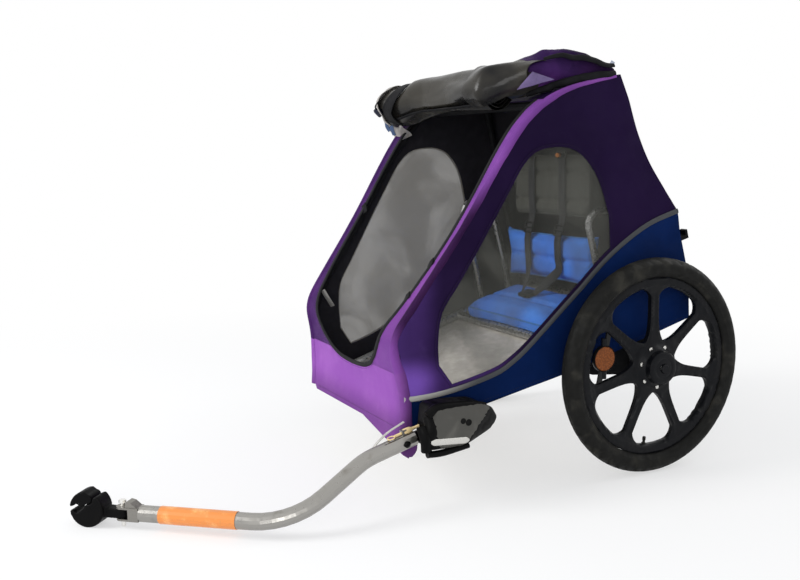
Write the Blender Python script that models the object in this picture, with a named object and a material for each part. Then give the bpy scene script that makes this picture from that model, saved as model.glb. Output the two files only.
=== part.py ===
"""Child's bicycle trailer: tube frame, fabric body with a U-shaped front opening, two moulded
wheels and a bent tow bar with a hitch coupler.

The body is drawn in its own level frame: x to the trailer's left, y to its rear, z up, with the
origin at the middle of the axle. It stands nose down on its wheels and on the coupler.
"""
import math
from math import cos, pi, radians, sin

import bmesh
import bpy
from mathutils import Matrix, Vector
from mathutils.geometry import delaunay_2d_cdt

# Sizes in metres
GAP = 0.0003              # between pieces that touch
CHORD_EASE = 0.0012       # extra where a straight-sided edge follows a curved sheet
SKIN = 0.003              # fabric with its lining
FILM = 0.0015             # clear window

# Wheels: 20 inch, 47-406
WHEEL_RADIUS = 0.250
TYRE_SECTION = 0.0235
BEAD_RADIUS = WHEEL_RADIUS - 0.044
RIM_INNER = BEAD_RADIUS - 0.022
RIM_HALF_WIDTH = 0.0125
SPOKES = 7
SPOKE_HALF_WIDTH = 0.0115
SPOKE_HALF_THICK = 0.0085
HUB_RADIUS = 0.0395
HUB_HALF_LENGTH = 0.025
CAP_HEIGHT = 0.016        # hub cap, proud of the hub's outer end
PIN_RADIUS = 0.006
BEARING_WALL = 0.004
HUB_BORE = PIN_RADIUS + BEARING_WALL + 2 * GAP
BUTTON_RADIUS = HUB_BORE - GAP
BUTTON_PROUD = 0.005
BUTTON_STROKE = 0.004
REFLECTOR_RADIUS = 0.028
REFLECTOR_AT = RIM_INNER - 0.040

# Frame tubes
RAIL_RADIUS = 0.0125
RAIL_INSET = 0.012        # rail to the side fabric
RAIL_FRONT = -0.545
RAIL_REAR = 0.145
HOOP_RADIUS = 0.009
HOOP_CLEAR = 0.0020       # hoop to the fabric it holds out
AXLE_TUBE_RADIUS = 0.0125
ARM_TUBE_RADIUS = 0.008
BRACKET_THICK = 0.008
FLOOR_BOTTOM = 0.052
FLOOR_THICK = 0.004
FOOT_BOARD = 0.0015       # raised floor board between the tubes
BOARD_CLEAR = 0.002       # board to the tubes' sides

# Fabric body in the level frame
BODY_BOTTOM = 0.050
PIPING_FRONT_Z = 0.128
PIPING_REAR_Z = 0.310
WINDOW_MARGIN = 0.011     # window over the piping line
PIPING_WIDTH = 0.014
PIPING_THICK = 0.004
FRONT_WIDTH = 0.262       # half width at the nose
FULL_WIDTH = 0.320        # half width at the wheels
WHEEL_CLEAR = 0.044       # wheel plane from the body's side
TRACK_HALF = FULL_WIDTH + WHEEL_CLEAR
ROOF_DRAW_IN = 0.030
NOSE_DRAW_IN = 0.022
FRONT_LINE = ((-0.600, 0.050), (-0.582, 0.105), (-0.570, 0.170), (-0.564, 0.235), (-0.545, 0.278),
              (-0.475, 0.338), (-0.350, 0.441), (-0.205, 0.574), (-0.139, 0.622), (-0.078, 0.648),
              (0.000, 0.658), (0.128, 0.650))
REAR_LINE = ((0.128, 0.650), (0.136, 0.588), (0.136, 0.520), (0.146, 0.440), (0.174, 0.355),
             (0.192, 0.305), (0.188, 0.262), (0.187, 0.150), (0.168, 0.050))
PIPING_LINE = ((-0.555, 0.121), (-0.520, 0.113), (-0.475, 0.107), (-0.430, 0.105), (-0.390, 0.106),
               (-0.350, 0.110), (-0.297, 0.130), (-0.238, 0.163), (-0.176, 0.198), (-0.112, 0.230),
               (-0.047, 0.262), (0.017, 0.286), (0.081, 0.303), (0.128, 0.309))
WINDOW_TOP = ((0.002, 0.359), (0.000, 0.442), (-0.016, 0.493), (-0.040, 0.525), (-0.073, 0.542),
              (-0.110, 0.550), (-0.145, 0.549), (-0.184, 0.529), (-0.237, 0.480), (-0.290, 0.430),
              (-0.342, 0.380), (-0.394, 0.331), (-0.446, 0.282), (-0.470, 0.224), (-0.482, 0.170))
WINDOW_FRONT_Y = -0.474
WINDOW_REAR_Y = -0.008
SPLIT_Z = 0.180           # seam between the nose panel and the front bands
ROOF_FRONT_Y = -0.078
# Half width of the front opening at heights above the U's bottom
OPENING = ((0.180, 0.108), (0.205, 0.140), (0.240, 0.170), (0.275, 0.195), (0.300, 0.213),
           (0.338, 0.228), (0.376, 0.238), (0.430, 0.245), (0.500, 0.250), (0.600, 0.250),
           (0.648, 0.248))
OPENING_BOTTOM = ((0.108, 0.180), (0.075, 0.169), (0.040, 0.1645), (0.000, 0.163))
FLAP_DROP = 0.040         # nose panel's corner below the bottom edge
FLAP_START_X = 0.05
FLAP_FLARE = 0.026
FLAP_TIP = 0.024
CORNER_CUT = 0.028        # slant at the body's lower front corners

# Seat
SEAT_FRONT = -0.150
SEAT_REAR = 0.034
SEAT_HALF_WIDTH = 0.205
SEAT_THICK = 0.056
BACK_THICK = 0.028
BACK_TOP_Z = 0.292
BACK_LEAN_Y = 0.045
UPPER_BACK_THICK = 0.014
UPPER_BACK_TOP = (0.112, 0.500)
STRAP_WIDTH = 0.026
STRAP_THICK = 0.002
STRAP_AT_X = 0.066
CHANNEL_DEPTH = 0.006
CHANNEL_HALF = 0.05       # as a share of the cushion's length

# Rolled front cover
ROLL_RADIUS = 0.057
ROLL_LEFT = 0.178
ROLL_RIGHT = -0.292
ROLL_STRAP_X = -0.225
ROLL_FLAT = 0.93          # height of the roll's section over its depth
ROLL_SEAT_GAP = 0.0004
# Side flap folded on the roof's left edge: middle of each section in x and y, half width, height
FOLD_SECTIONS = ((0.184, -0.088, 0.038, 0.078), (0.205, -0.055, 0.040, 0.088),
                 (0.226, -0.020, 0.038, 0.088), (0.246, 0.022, 0.034, 0.074),
                 (0.258, 0.064, 0.029, 0.058), (0.266, 0.100, 0.022, 0.036), (0.269, 0.124, 0.016, 0.018))

# Tow bar
BAR_RADIUS = 0.017
RECEIVER_INNER = FRONT_WIDTH + 0.026
RECEIVER_OUTER = RECEIVER_INNER + 0.072
BAR_X = RECEIVER_INNER + 0.014
BAR_PIVOT = Vector((BAR_X, -0.620, 0.058))
BAR_STRAIGHT_END = Vector((BAR_X, -0.713, 0.058))
BAR_ELBOW = Vector((BAR_X + 0.049, -0.909, 0.021))
HITCH_POINT = Vector((BAR_X - 0.191, -1.176, 0.0895))
BAR_BEND_RADIUS = 0.15
BAR_SLOT_DEPTH = 0.045
BAR_PAST_BOLT = 0.026
TONGUE_THICK = 0.016
TONGUE_RADIUS = 0.010
BOLT_RADIUS = 0.004
LATCH_RADIUS = 0.003
LATCH_LENGTH = 0.060
LATCH_RING = 0.008
BAND_WALL = 0.0008
BAND_FROM_PIN = 0.085
BAND_LENGTH = 0.166
RECEIVER_OUTLINE = ((-0.590, 0.040), (-0.500, 0.014), (-0.428, 0.013), (-0.403, 0.030),
                    (-0.421, 0.068), (-0.446, 0.090), (-0.503, 0.110), (-0.556, 0.124))
PLATE_WIDTH = 0.013
PLATE_THICK = 0.004

# Hitch
HEAD_RADIUS = 0.038
HEAD_HALF_WIDTH = 0.0205
HEAD_LIFT = 0.006         # head's centre over the hitch point, upright
HEAD_REACH = 0.073        # pin to the head's centre
HITCH_PIN_RADIUS = 0.0045
FORK_EAR = 0.004
FORK_HALF_WIDTH = 0.014
NECK_HALF_HEIGHT = 0.0100
JAW_PIVOT = Vector((0.0, 0.004, 0.022))   # from the head's centre
JAW_BOSS = 0.010
KNOB_RADIUS = 0.015
KNOB_LENGTH = 0.012

FLOOR_TOP = FLOOR_BOTTOM + FLOOR_THICK
RAIL_Z = FLOOR_TOP + GAP + RAIL_RADIUS


for old in list(bpy.data.objects):
    bpy.data.objects.remove(old, do_unlink=True)


# Frames that carry the pieces

def empty(name, parent=None, location=(0, 0, 0), rotation=None):
    frame = bpy.data.objects.new(name, None)
    bpy.context.collection.objects.link(frame)
    frame.parent = parent
    frame.location = location
    if rotation is not None:
        frame.rotation_euler = rotation.to_euler()
    return frame


def rest_tilt():
    """Nose-down angle at which the coupler touches the ground with the wheels."""
    reach = math.hypot(HITCH_POINT.y, HITCH_POINT.z)
    drop = (HEAD_RADIUS - HEAD_LIFT - WHEEL_RADIUS) / reach
    return pi - math.asin(drop) - math.atan2(HITCH_POINT.z, HITCH_POINT.y)


TILT = rest_tilt()
root = empty("trailer")
body = empty("body", root, (0, 0, WHEEL_RADIUS), Matrix.Rotation(TILT, 3, "X"))


# Shared outlines

def smooth_line(points, step=0.03):
    """Points about a step apart on a smooth curve through the given ones."""
    pts = [Vector(p) for p in points]
    pts = [2 * pts[0] - pts[1]] + pts + [2 * pts[-1] - pts[-2]]
    out = []
    for a, b, c, d in zip(pts, pts[1:], pts[2:], pts[3:]):
        n = max(1, round((c - b).length / step))
        for i in range(n):
            t = i / n
            out.append(0.5 * ((2 * b) + (c - a) * t + (2 * a - 5 * b + 4 * c - d) * t * t
                              + (3 * b - a - 3 * c + d) * t ** 3))
    out.append(pts[-2])
    return out


def smoothstep(t):
    t = min(1.0, max(0.0, t))
    return t * t * (3 - 2 * t)


def half_width(y, z):
    """Half width of the fabric body, outside."""
    w = FRONT_WIDTH + (FULL_WIDTH - FRONT_WIDTH) * smoothstep((y + 0.56) / 0.44)
    w -= ROOF_DRAW_IN * smoothstep((z - 0.30) / 0.36)
    return w - NOSE_DRAW_IN * math.exp(-((y + 0.56) / 0.06) ** 2 - ((z - 0.215) / 0.06) ** 2)


class Line:
    """A line in the y-z plane that is read by its length or its height."""

    def __init__(self, points, inside=(-0.15, 0.30), step=0.03):
        self.pts = smooth_line(points, step)
        self.at = [0.0]
        for a, b in zip(self.pts, self.pts[1:]):
            self.at.append(self.at[-1] + (b - a).length)
        self.length = self.at[-1]
        self.inside = Vector(inside)

    def where(self, test):
        """Length at which test(point) first changes sign."""
        values = [test(p) for p in self.pts]
        for i, (a, b) in enumerate(zip(values, values[1:])):
            if a == 0 or a * b < 0:
                return self.at[i] + (self.at[i + 1] - self.at[i]) * (a / (a - b) if a else 0)
        return self.length

    def point(self, s, inward=0.0):
        i = 0
        while i < len(self.at) - 2 and s > self.at[i + 1]:
            i += 1
        a, b = self.pts[i], self.pts[i + 1]
        k = (s - self.at[i]) / (self.at[i + 1] - self.at[i])
        p = a.lerp(b, k) if 0 <= k <= 1 else a + (b - a) * k
        if inward:
            # the direction turns evenly from one segment's middle to the next
            prev = self.pts[max(i - 1, 0)]
            nxt = self.pts[min(i + 2, len(self.pts) - 1)]
            start = (b - prev).normalized()
            end = (nxt - a).normalized()
            along = start.lerp(end, min(1, max(0, k))).normalized()
            side = Vector((-along.y, along.x))
            if side.dot(self.inside - p) < 0:
                side.negate()
            p = p + side * inward
        return p

    def span(self, s0, s1):
        """The line's own points between two lengths, with both ends."""
        mid = [p for s, p in zip(self.at, self.pts) if s0 + 0.004 < s < s1 - 0.004]
        return [self.point(s0)] + mid + [self.point(s1)]


FRONT = Line(FRONT_LINE)
REAR = Line(REAR_LINE)
S_PIPING = FRONT.where(lambda p: p.y - PIPING_FRONT_Z)
S_SPLIT = FRONT.where(lambda p: p.y - SPLIT_Z)
S_ROOF = FRONT.where(lambda p: p.x - ROOF_FRONT_Y)
S_REAR_PIPING = REAR.where(lambda p: p.y - PIPING_REAR_Z)
PIPING = Line((tuple(FRONT.point(S_PIPING)),) + PIPING_LINE + (tuple(REAR.point(S_REAR_PIPING)),))


# Meshes

COLLECTION = bpy.context.collection


def finish(name, bm, colour, roughness, metallic=0.0, parent=body, location=(0, 0, 0), crease=40):
    """Makes the object, its material and its shading from a bmesh."""
    bmesh.ops.remove_doubles(bm, verts=bm.verts, dist=1e-6)
    bmesh.ops.recalc_face_normals(bm, faces=bm.faces)
    mesh = bpy.data.meshes.new(name)
    bm.to_mesh(mesh)
    bm.free()
    obj = bpy.data.objects.new(name, mesh)
    COLLECTION.objects.link(obj)
    obj.parent = parent
    obj.location = location
    mat = bpy.data.materials.new(name)
    mat.use_nodes = True
    shader = mat.node_tree.nodes["Principled BSDF"]
    shader.inputs["Base Color"].default_value = (*colour, 1)
    shader.inputs["Roughness"].default_value = roughness
    shader.inputs["Metallic"].default_value = metallic
    mesh.materials.append(mat)
    mesh.shade_smooth()
    mesh.set_sharp_from_angle(angle=radians(crease))
    return obj


def boolean(obj, bm, operation):
    """Joins or cuts an object with a bmesh and keeps the result as its mesh."""
    mesh = bpy.data.meshes.new("tool")
    bmesh.ops.recalc_face_normals(bm, faces=bm.faces)
    bm.to_mesh(mesh)
    bm.free()
    tool = bpy.data.objects.new("tool", mesh)
    COLLECTION.objects.link(tool)
    tool.parent = obj.parent
    tool.location = obj.location
    mod = obj.modifiers.new("cut", "BOOLEAN")
    mod.operation = operation
    mod.solver = "EXACT"
    mod.object = tool
    result = bpy.data.meshes.new_from_object(obj.evaluated_get(bpy.context.evaluated_depsgraph_get()))
    obj.modifiers.clear()
    old = obj.data
    result.name = old.name
    obj.data = result
    bpy.data.meshes.remove(old)
    bpy.data.objects.remove(tool)
    obj.data.shade_smooth()
    obj.data.set_sharp_from_angle(angle=radians(40))
    return obj


def inside(p, loops):
    """Whether a flat point lies within the outer loop and outside the holes."""
    hit = False
    for loop in loops:
        for a, b in zip(loop, loop[1:] + loop[:1]):
            if (a[1] > p[1]) != (b[1] > p[1]):
                if p[0] < a[0] + (b[0] - a[0]) * (p[1] - a[1]) / (b[1] - a[1]):
                    hit = not hit
    return hit


def near_loop(p, loops, dist):
    for loop in loops:
        for a, b in zip(loop, loop[1:] + loop[:1]):
            ax, ay, bx, by = a[0], a[1], b[0] - a[0], b[1] - a[1]
            k = ((p[0] - ax) * bx + (p[1] - ay) * by) / max(bx * bx + by * by, 1e-12)
            k = min(1, max(0, k))
            if math.hypot(p[0] - ax - k * bx, p[1] - ay - k * by) < dist:
                return True
    return False


def slab(loops, outer, inner, grid=0.07, extra=()):
    """Closed sheet: a flat outline with holes, laid on an outer and an inner surface."""
    loops = [[(p[0], p[1]) for p in loop] for loop in loops]
    verts, edges = [], []
    for loop in loops:
        first = len(verts)
        verts += [Vector(p) for p in loop]
        edges += [(first + i, first + (i + 1) % len(loop)) for i in range(len(loop))]
    verts += [Vector(p) for p in extra]
    if grid:
        us = [p[0] for p in loops[0]]
        vs = [p[1] for p in loops[0]]
        for i in range(1, int((max(us) - min(us)) / grid) + 1):
            for j in range(1, int((max(vs) - min(vs)) / grid) + 1):
                p = (min(us) + (i - 0.5 * (j % 2)) * grid, min(vs) + j * grid)
                if inside(p, loops) and not near_loop(p, loops, grid * 0.45):
                    verts.append(Vector(p))
    flat, _, tris, *_ = delaunay_2d_cdt(verts, edges, [], 0, 1e-7)
    tris = [t for t in tris if inside(sum((flat[i] for i in t), Vector((0, 0))) / 3, loops)]
    bm = bmesh.new()
    top = [bm.verts.new(outer(*p)) for p in flat]
    bottom = [bm.verts.new(inner(*p)) for p in flat]
    count = {}
    for t in tris:
        bm.faces.new([top[i] for i in t])
        bm.faces.new([bottom[i] for i in reversed(t)])
        for a, b in zip(t, t[1:] + t[:1]):
            count[(a, b)] = count.get((a, b), 0) + 1
    for a, b in count:
        if (b, a) not in count:
            bm.faces.new([top[b], top[a], bottom[a], bottom[b]])
    for v in [v for v in bm.verts if not v.link_faces]:
        bm.verts.remove(v)
    return bm


def prism(outline, low, high, place, bevel=0.0, segments=1):
    """Flat outline pushed from low to high; place(u, v, w) puts a point in space."""
    bm = bmesh.new()
    base = [bm.verts.new(place(u, v, low)) for u, v in outline]
    face = bm.faces.new(base)
    push = bmesh.ops.extrude_face_region(bm, geom=[face])
    tips = [v for v in push["geom"] if isinstance(v, bmesh.types.BMVert)]
    offset = Vector(place(*outline[0], high)) - Vector(place(*outline[0], low))
    bmesh.ops.translate(bm, verts=tips, vec=offset)
    if bevel:
        sharp = [e for e in bm.edges if len(e.link_faces) == 2 and e.calc_face_angle(0) > radians(35)]
        bmesh.ops.bevel(bm, geom=sharp, offset=bevel, segments=segments, profile=0.5, affect="EDGES")
    return bm


def along_x(u, v, w):
    return Vector((w, u, v))


def along_z(u, v, w):
    return Vector((u, v, w))


def box(x0, x1, y0, y1, z0, z1, bevel=0.0, segments=1):
    return prism(((x0, y0), (x1, y0), (x1, y1), (x0, y1)), z0, z1, along_z, bevel, segments)


def rounded(points, radius, steps=5):
    """Path with its corners turned at a bend radius."""
    pts = [Vector(p) for p in points]
    out = [pts[0]]
    for a, b, c in zip(pts, pts[1:], pts[2:]):
        into, away = (b - a).normalized(), (c - b).normalized()
        turn = into.angle(away)
        if turn < 0.02:
            out.append(b)
            continue
        cut = min(radius * math.tan(turn / 2), (b - a).length * 0.48, (c - b).length * 0.48)
        r = cut / math.tan(turn / 2)
        centre = b - into * cut + (away - into * into.dot(away)).normalized() * r
        start = (b - into * cut) - centre
        axis = into.cross(away).normalized()
        n = max(2, round(steps * turn / (pi / 2)) + 1)
        for i in range(n + 1):
            out.append(centre + Matrix.Rotation(turn * i / n, 3, axis) @ start)
    out.append(pts[-1])
    return out


def sweep(points, section, up=Vector((0, 0, 1)), closed=False):
    """Carries a flat section (a list of across, up pairs) along a path, with mitred rings."""
    pts = [Vector(p) for p in points]
    n = len(pts)
    bm = bmesh.new()
    rings = []
    for i, p in enumerate(pts):
        if closed:
            before, after = pts[i - 1], pts[(i + 1) % n]
        else:
            before, after = pts[max(i - 1, 0)], pts[min(i + 1, n - 1)]
        d0 = (p - before).normalized() if (p - before).length > 1e-9 else None
        d1 = (after - p).normalized() if (after - p).length > 1e-9 else None
        d0, d1 = d0 or d1, d1 or d0
        tangent = (d0 + d1).normalized()
        side = tangent.cross(up)
        if side.length < 1e-3:
            side = tangent.cross(Vector((0, 1, 0)))
        side.normalize()
        if rings and side.dot(last) < 0:
            side.negate()
        last = side
        top = side.cross(tangent).normalized()
        stretch = 1 / max(0.5, d0.dot(tangent))
        bend = (d1 - d0)
        bend = bend.normalized() if bend.length > 1e-6 else None
        ring = []
        for u, v in section:
            offset = side * u + top * v
            if bend is not None:
                offset += bend * offset.dot(bend) * (stretch - 1)
            ring.append(bm.verts.new(p + offset))
        rings.append(ring)
    pairs = list(zip(rings, rings[1:]))
    if closed:
        pairs.append((rings[-1], rings[0]))
    for a, b in pairs:
        for k in range(len(section)):
            bm.faces.new((a[k], a[(k + 1) % len(section)], b[(k + 1) % len(section)], b[k]))
    if not closed:
        bm.faces.new(rings[0])
        bm.faces.new(rings[-1])
    return bm


def circle(radius, sides, start=0.0):
    return [(radius * cos(start + 2 * pi * i / sides), radius * sin(start + 2 * pi * i / sides))
            for i in range(sides)]


def tube(points, radius, sides=10, up=Vector((0, 0, 1)), closed=False):
    return sweep(points, circle(radius, sides, pi / sides), up, closed)


def turned(profile, sides, axis="X", start=0.0):
    """Closed profile of (along, radius) pairs turned round an axis."""
    bm = bmesh.new()
    rings = []
    for i in range(sides):
        a = start + 2 * pi * i / sides
        ring = []
        for along, r in profile:
            if axis == "X":
                ring.append(bm.verts.new((along, r * cos(a), r * sin(a))))
            else:
                ring.append(bm.verts.new((r * cos(a), r * sin(a), along)))
        rings.append(ring)
    m = len(profile)
    walls = m - 1 if profile[0][1] == 0 and profile[-1][1] == 0 else m
    for a, b in zip(rings, rings[1:] + rings[:1]):
        for k in range(walls):
            bm.faces.new((a[k], a[(k + 1) % m], b[(k + 1) % m], b[k]))
    bmesh.ops.remove_doubles(bm, verts=bm.verts, dist=1e-7)
    return bm


def rod(radius, low, high, sides=14, axis="X", chamfer=0.0):
    """Solid round bar from low to high along an axis."""
    profile = [(low, 0.0), (low, radius - chamfer)]
    if chamfer:
        profile += [(low + chamfer, radius), (high - chamfer, radius)]
    profile += [(high, radius - chamfer), (high, 0.0)]
    if not chamfer:
        profile = [(low, 0.0), (low, radius), (high, radius), (high, 0.0)]
    return turned(profile, sides, axis)


def both_sides(make):
    """Calls make(name prefix, sign of x) for the left and the right piece."""
    for prefix, sign in (("left", 1), ("right", -1)):
        make(prefix, sign)


PURPLE = (0.16, 0.035, 0.34)
DARK_PURPLE = (0.05, 0.015, 0.10)
NAVY = (0.008, 0.020, 0.115)
BLUE = (0.045, 0.22, 0.82)
BLACK = (0.012, 0.012, 0.013)
ALLOY = (0.72, 0.72, 0.70)


# Frame

def rail_x(y):
    return half_width(y, RAIL_Z) - SKIN - RAIL_INSET - RAIL_RADIUS


def side_rail(prefix, sign):
    ys = [RAIL_FRONT + (RAIL_REAR - RAIL_FRONT) * i / 8 for i in range(9)]
    path = [(sign * rail_x(y), y, RAIL_Z) for y in ys]
    finish(prefix + "_side_rail", tube(path, RAIL_RADIUS), ALLOY, 0.35, 1.0)


both_sides(side_rail)


def cross_tube(name, y, radius=RAIL_RADIUS):
    x = rail_x(y - RAIL_RADIUS) - RAIL_RADIUS - CHORD_EASE
    finish(name, rod(radius, -x, x, 10), ALLOY, 0.35, 1.0, location=(0, y, RAIL_Z))


FRONT_TUBE_Y = RAIL_FRONT + 0.02
cross_tube("front_cross_tube", FRONT_TUBE_Y)
cross_tube("rear_cross_tube", RAIL_REAR - 0.02)
SEAT_BAR_Y = SEAT_FRONT + 0.03
cross_tube("seat_bar", SEAT_BAR_Y)

AXLE_END = TRACK_HALF - HUB_HALF_LENGTH - 0.0008
PIN_INNER = AXLE_END - 0.045
AXLE_BORE = PIN_RADIUS + GAP
axle = finish("axle_tube", rod(AXLE_TUBE_RADIUS, -AXLE_END, AXLE_END, 16), ALLOY, 0.4, 1.0)
for sign in (1, -1):
    low, high = sorted((sign * (PIN_INNER - 0.004), sign * (AXLE_END + 0.01)))
    boolean(axle, rod(AXLE_BORE, low, high, 16), "DIFFERENCE")

BRACKET_OUTLINE = ((-0.135, FLOOR_BOTTOM - GAP), (-0.126, 0.012), (-0.050, -0.017), (0.000, -0.024),
                   (0.035, -0.012), (0.085, FLOOR_BOTTOM - GAP))


def axle_bracket(prefix, sign):
    x = rail_x(0)
    low, high = sorted((sign * (x - BRACKET_THICK / 2), sign * (x + BRACKET_THICK / 2)))
    outline = rounded_outline(BRACKET_OUTLINE, 0.012)
    plate = finish(prefix + "_axle_bracket", prism(outline, low, high, along_x), BLACK, 0.5)
    boolean(plate, rod(AXLE_TUBE_RADIUS + GAP, low - 0.01, high + 0.01, 16), "DIFFERENCE")


def rounded_outline(outline, radius, steps=3):
    """Flat outline with its corners rounded."""
    out = []
    pts = [Vector(p) for p in outline]
    for a, b, c in zip(pts[-1:] + pts[:-1], pts, pts[1:] + pts[:1]):
        into, away = (b - a).normalized(), (c - b).normalized()
        turn = abs(into.angle_signed(away))
        cut = min(radius * math.tan(turn / 2), (b - a).length * 0.45, (c - b).length * 0.45)
        if turn < 0.05:
            out.append(tuple(b))
            continue
        p0, p1 = b - into * cut, b + away * cut
        n = max(1, round(steps * turn / (pi / 2)))
        for i in range(n + 1):
            t = i / n
            out.append(tuple((1 - t) ** 2 * p0 + 2 * t * (1 - t) * b + t * t * p1))
    return out


both_sides(axle_bracket)


def hoop_x(y, z):
    return half_width(y, z) - SKIN - HOOP_CLEAR - CHORD_EASE - HOOP_RADIUS


def front_hoop():
    """Tube inside the front edge, from the rails up and across under the roof's front."""
    inset = SKIN + HOOP_CLEAR + HOOP_RADIUS
    start = FRONT.where(lambda p: p.y - 0.10)
    side = []
    n = 10
    for i in range(n + 1):
        p = FRONT.point(start + (S_ROOF - start) * i / n, inset)
        side.append(Vector((hoop_x(p.x, p.y), p.x, p.y)))
    foot_z = RAIL_Z + RAIL_RADIUS + GAP
    foot_y = side[0].y
    foot = Vector((rail_x(foot_y), foot_y, foot_z))
    corner = side[-1]
    path = [foot] + side[1:-1] + [corner]
    path += [Vector((-p.x, p.y, p.z)) for p in reversed(path)]
    return rounded_hoop(path, corner)


def rounded_hoop(path, corner, radius=0.045):
    """Turns the two top corners of a hoop at a bend radius."""
    i = path.index(corner)
    into = (path[i] - path[i - 1]).normalized()
    turned_path = path[:i]
    arc = rounded([path[i] - into * radius * 1.6, path[i], path[i] + Vector((-radius * 1.6, 0, 0))],
                  radius, 4)
    while turned_path and (turned_path[-1] - path[i]).length < radius * 1.7:
        turned_path.pop()
    half = turned_path + arc[1:-1]
    return half + [Vector((-p.x, p.y, p.z)) for p in reversed(half)]


finish("front_hoop", tube(front_hoop(), HOOP_RADIUS, 8, Vector((0, 1, 0.3))), ALLOY, 0.35, 1.0)

REAR_HOOP_Y = 0.112


def rear_hoop():
    top_z = FRONT.point(FRONT.where(lambda p: p.x - REAR_HOOP_Y)).y - SKIN - HOOP_CLEAR - HOOP_RADIUS
    foot = Vector((rail_x(REAR_HOOP_Y), REAR_HOOP_Y, RAIL_Z + RAIL_RADIUS + GAP))
    corner = Vector((hoop_x(REAR_HOOP_Y, top_z), REAR_HOOP_Y, top_z))
    knee = Vector((rail_x(REAR_HOOP_Y), REAR_HOOP_Y, 0.32))
    path = [foot, knee, corner]
    return rounded_hoop(path + [Vector((-p.x, p.y, p.z)) for p in reversed(path)], corner)


finish("rear_hoop", tube(rear_hoop(), HOOP_RADIUS, 8, Vector((0, 1, 0))), ALLOY, 0.35, 1.0)

ARM_FRONT_Y, ARM_REAR_Y, ARM_TOP_Z = -0.035, 0.058, 0.374


def arm_hoop(prefix, sign):
    """Small polished hoop on the rail beside the seat."""
    foot_z = RAIL_Z + RAIL_RADIUS + GAP
    x = rail_x(0) - 0.012
    path = [(sign * rail_x(ARM_FRONT_Y), ARM_FRONT_Y, foot_z), (sign * x, ARM_FRONT_Y, foot_z + 0.10),
            (sign * x, ARM_FRONT_Y, ARM_TOP_Z), (sign * x, ARM_REAR_Y, ARM_TOP_Z - 0.02),
            (sign * x, ARM_REAR_Y, foot_z + 0.10), (sign * rail_x(ARM_REAR_Y), ARM_REAR_Y, foot_z)]
    bm = tube(rounded(path, 0.030, 3), ARM_TUBE_RADIUS, 8, Vector((1, 0, 0)))
    finish(prefix + "_arm_hoop", bm, (0.85, 0.84, 0.82), 0.15, 1.0)


both_sides(arm_hoop)


# Fabric panels

def side_sheet(name, sign, loops, thick, colour, roughness, grid=0.10, sink=0.0):
    finish(name, slab(loops, lambda y, z: (sign * (half_width(y, z) - sink), y, z),
                      lambda y, z: (sign * (half_width(y, z) - sink - thick), y, z), grid),
           colour, roughness)


def grown(loop, amount):
    """Flat outline moved outward by an amount (inward if negative)."""
    pts = [Vector(p) for p in loop]
    area = sum(a.x * b.y - b.x * a.y for a, b in zip(pts, pts[1:] + pts[:1]))
    out = []
    for a, b, c in zip(pts[-1:] + pts[:-1], pts, pts[1:] + pts[:1]):
        d = ((b - a).normalized() + (c - b).normalized()).normalized()
        n = Vector((d.y, -d.x)) * (1 if area > 0 else -1)
        out.append(tuple(b + n * amount))
    return out


def window_outline():
    lower = [p + Vector((0, WINDOW_MARGIN)) for p in PIPING.pts
             if WINDOW_FRONT_Y <= p.x <= WINDOW_REAR_Y]
    upper = smooth_line(WINDOW_TOP, 0.045)
    return [tuple(p) for p in lower + upper]


WINDOW = window_outline()


def piping_edge(offset):
    """Piping line moved up or down by half the seam's gap."""
    return [p + Vector((0, offset)) for p in PIPING.pts]


def side_panels(prefix, sign):
    top = FRONT.span(S_PIPING + GAP, FRONT.length)
    rear = REAR.span(0.0, S_REAR_PIPING - GAP)[1:]
    edge = list(reversed(piping_edge(GAP / 2)))[1:-1]
    side_sheet(prefix + "_side_panel", sign, [top + rear + edge, WINDOW], SKIN, PURPLE, 0.6)
    side_sheet(prefix + "_window", sign, [grown(WINDOW, -GAP)], FILM, (0.55, 0.56, 0.52), 0.12,
               0.10, (SKIN - FILM) / 2)
    low_front = FRONT.span(CORNER_CUT, S_PIPING - GAP)
    low_rear = REAR.span(S_REAR_PIPING + GAP, REAR.length)
    edge = piping_edge(-GAP / 2)[1:-1]
    bottom = [Vector((y, BODY_BOTTOM)) for y in (0.09, 0.0, -0.09, -0.18, -0.27, -0.36, -0.45)]
    bottom.append(Vector((FRONT.pts[0].x + CORNER_CUT, BODY_BOTTOM)))
    side_sheet(prefix + "_lower_side", sign, [low_front + edge + low_rear + bottom], SKIN, NAVY, 0.65)


both_sides(side_panels)

EDGE = SKIN + CHORD_EASE


def strip_sheet(name, line, loops, colour, roughness, grid=0.08, crown=0.0):
    """Fabric between the side panels, laid along a line in x and length."""
    def place(inward):
        def put(x, s):
            p = line.point(s, inward)
            half = half_width(p.x, p.y) - EDGE
            return (x, p.x, p.y + crown * max(0.0, 1 - (x / half) ** 2))
        return put
    finish(name, slab(loops, place(0.0), place(SKIN), grid), colour, roughness)


def edge_x(line, s):
    p = line.point(s)
    return half_width(p.x, p.y) - EDGE


def edge_points(line, s0, s1, sign=1):
    at = [s0] + [s for s in line.at if s0 + 0.004 < s < s1 - 0.004] + [s1]
    return [(sign * edge_x(line, s), s) for s in at]


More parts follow.
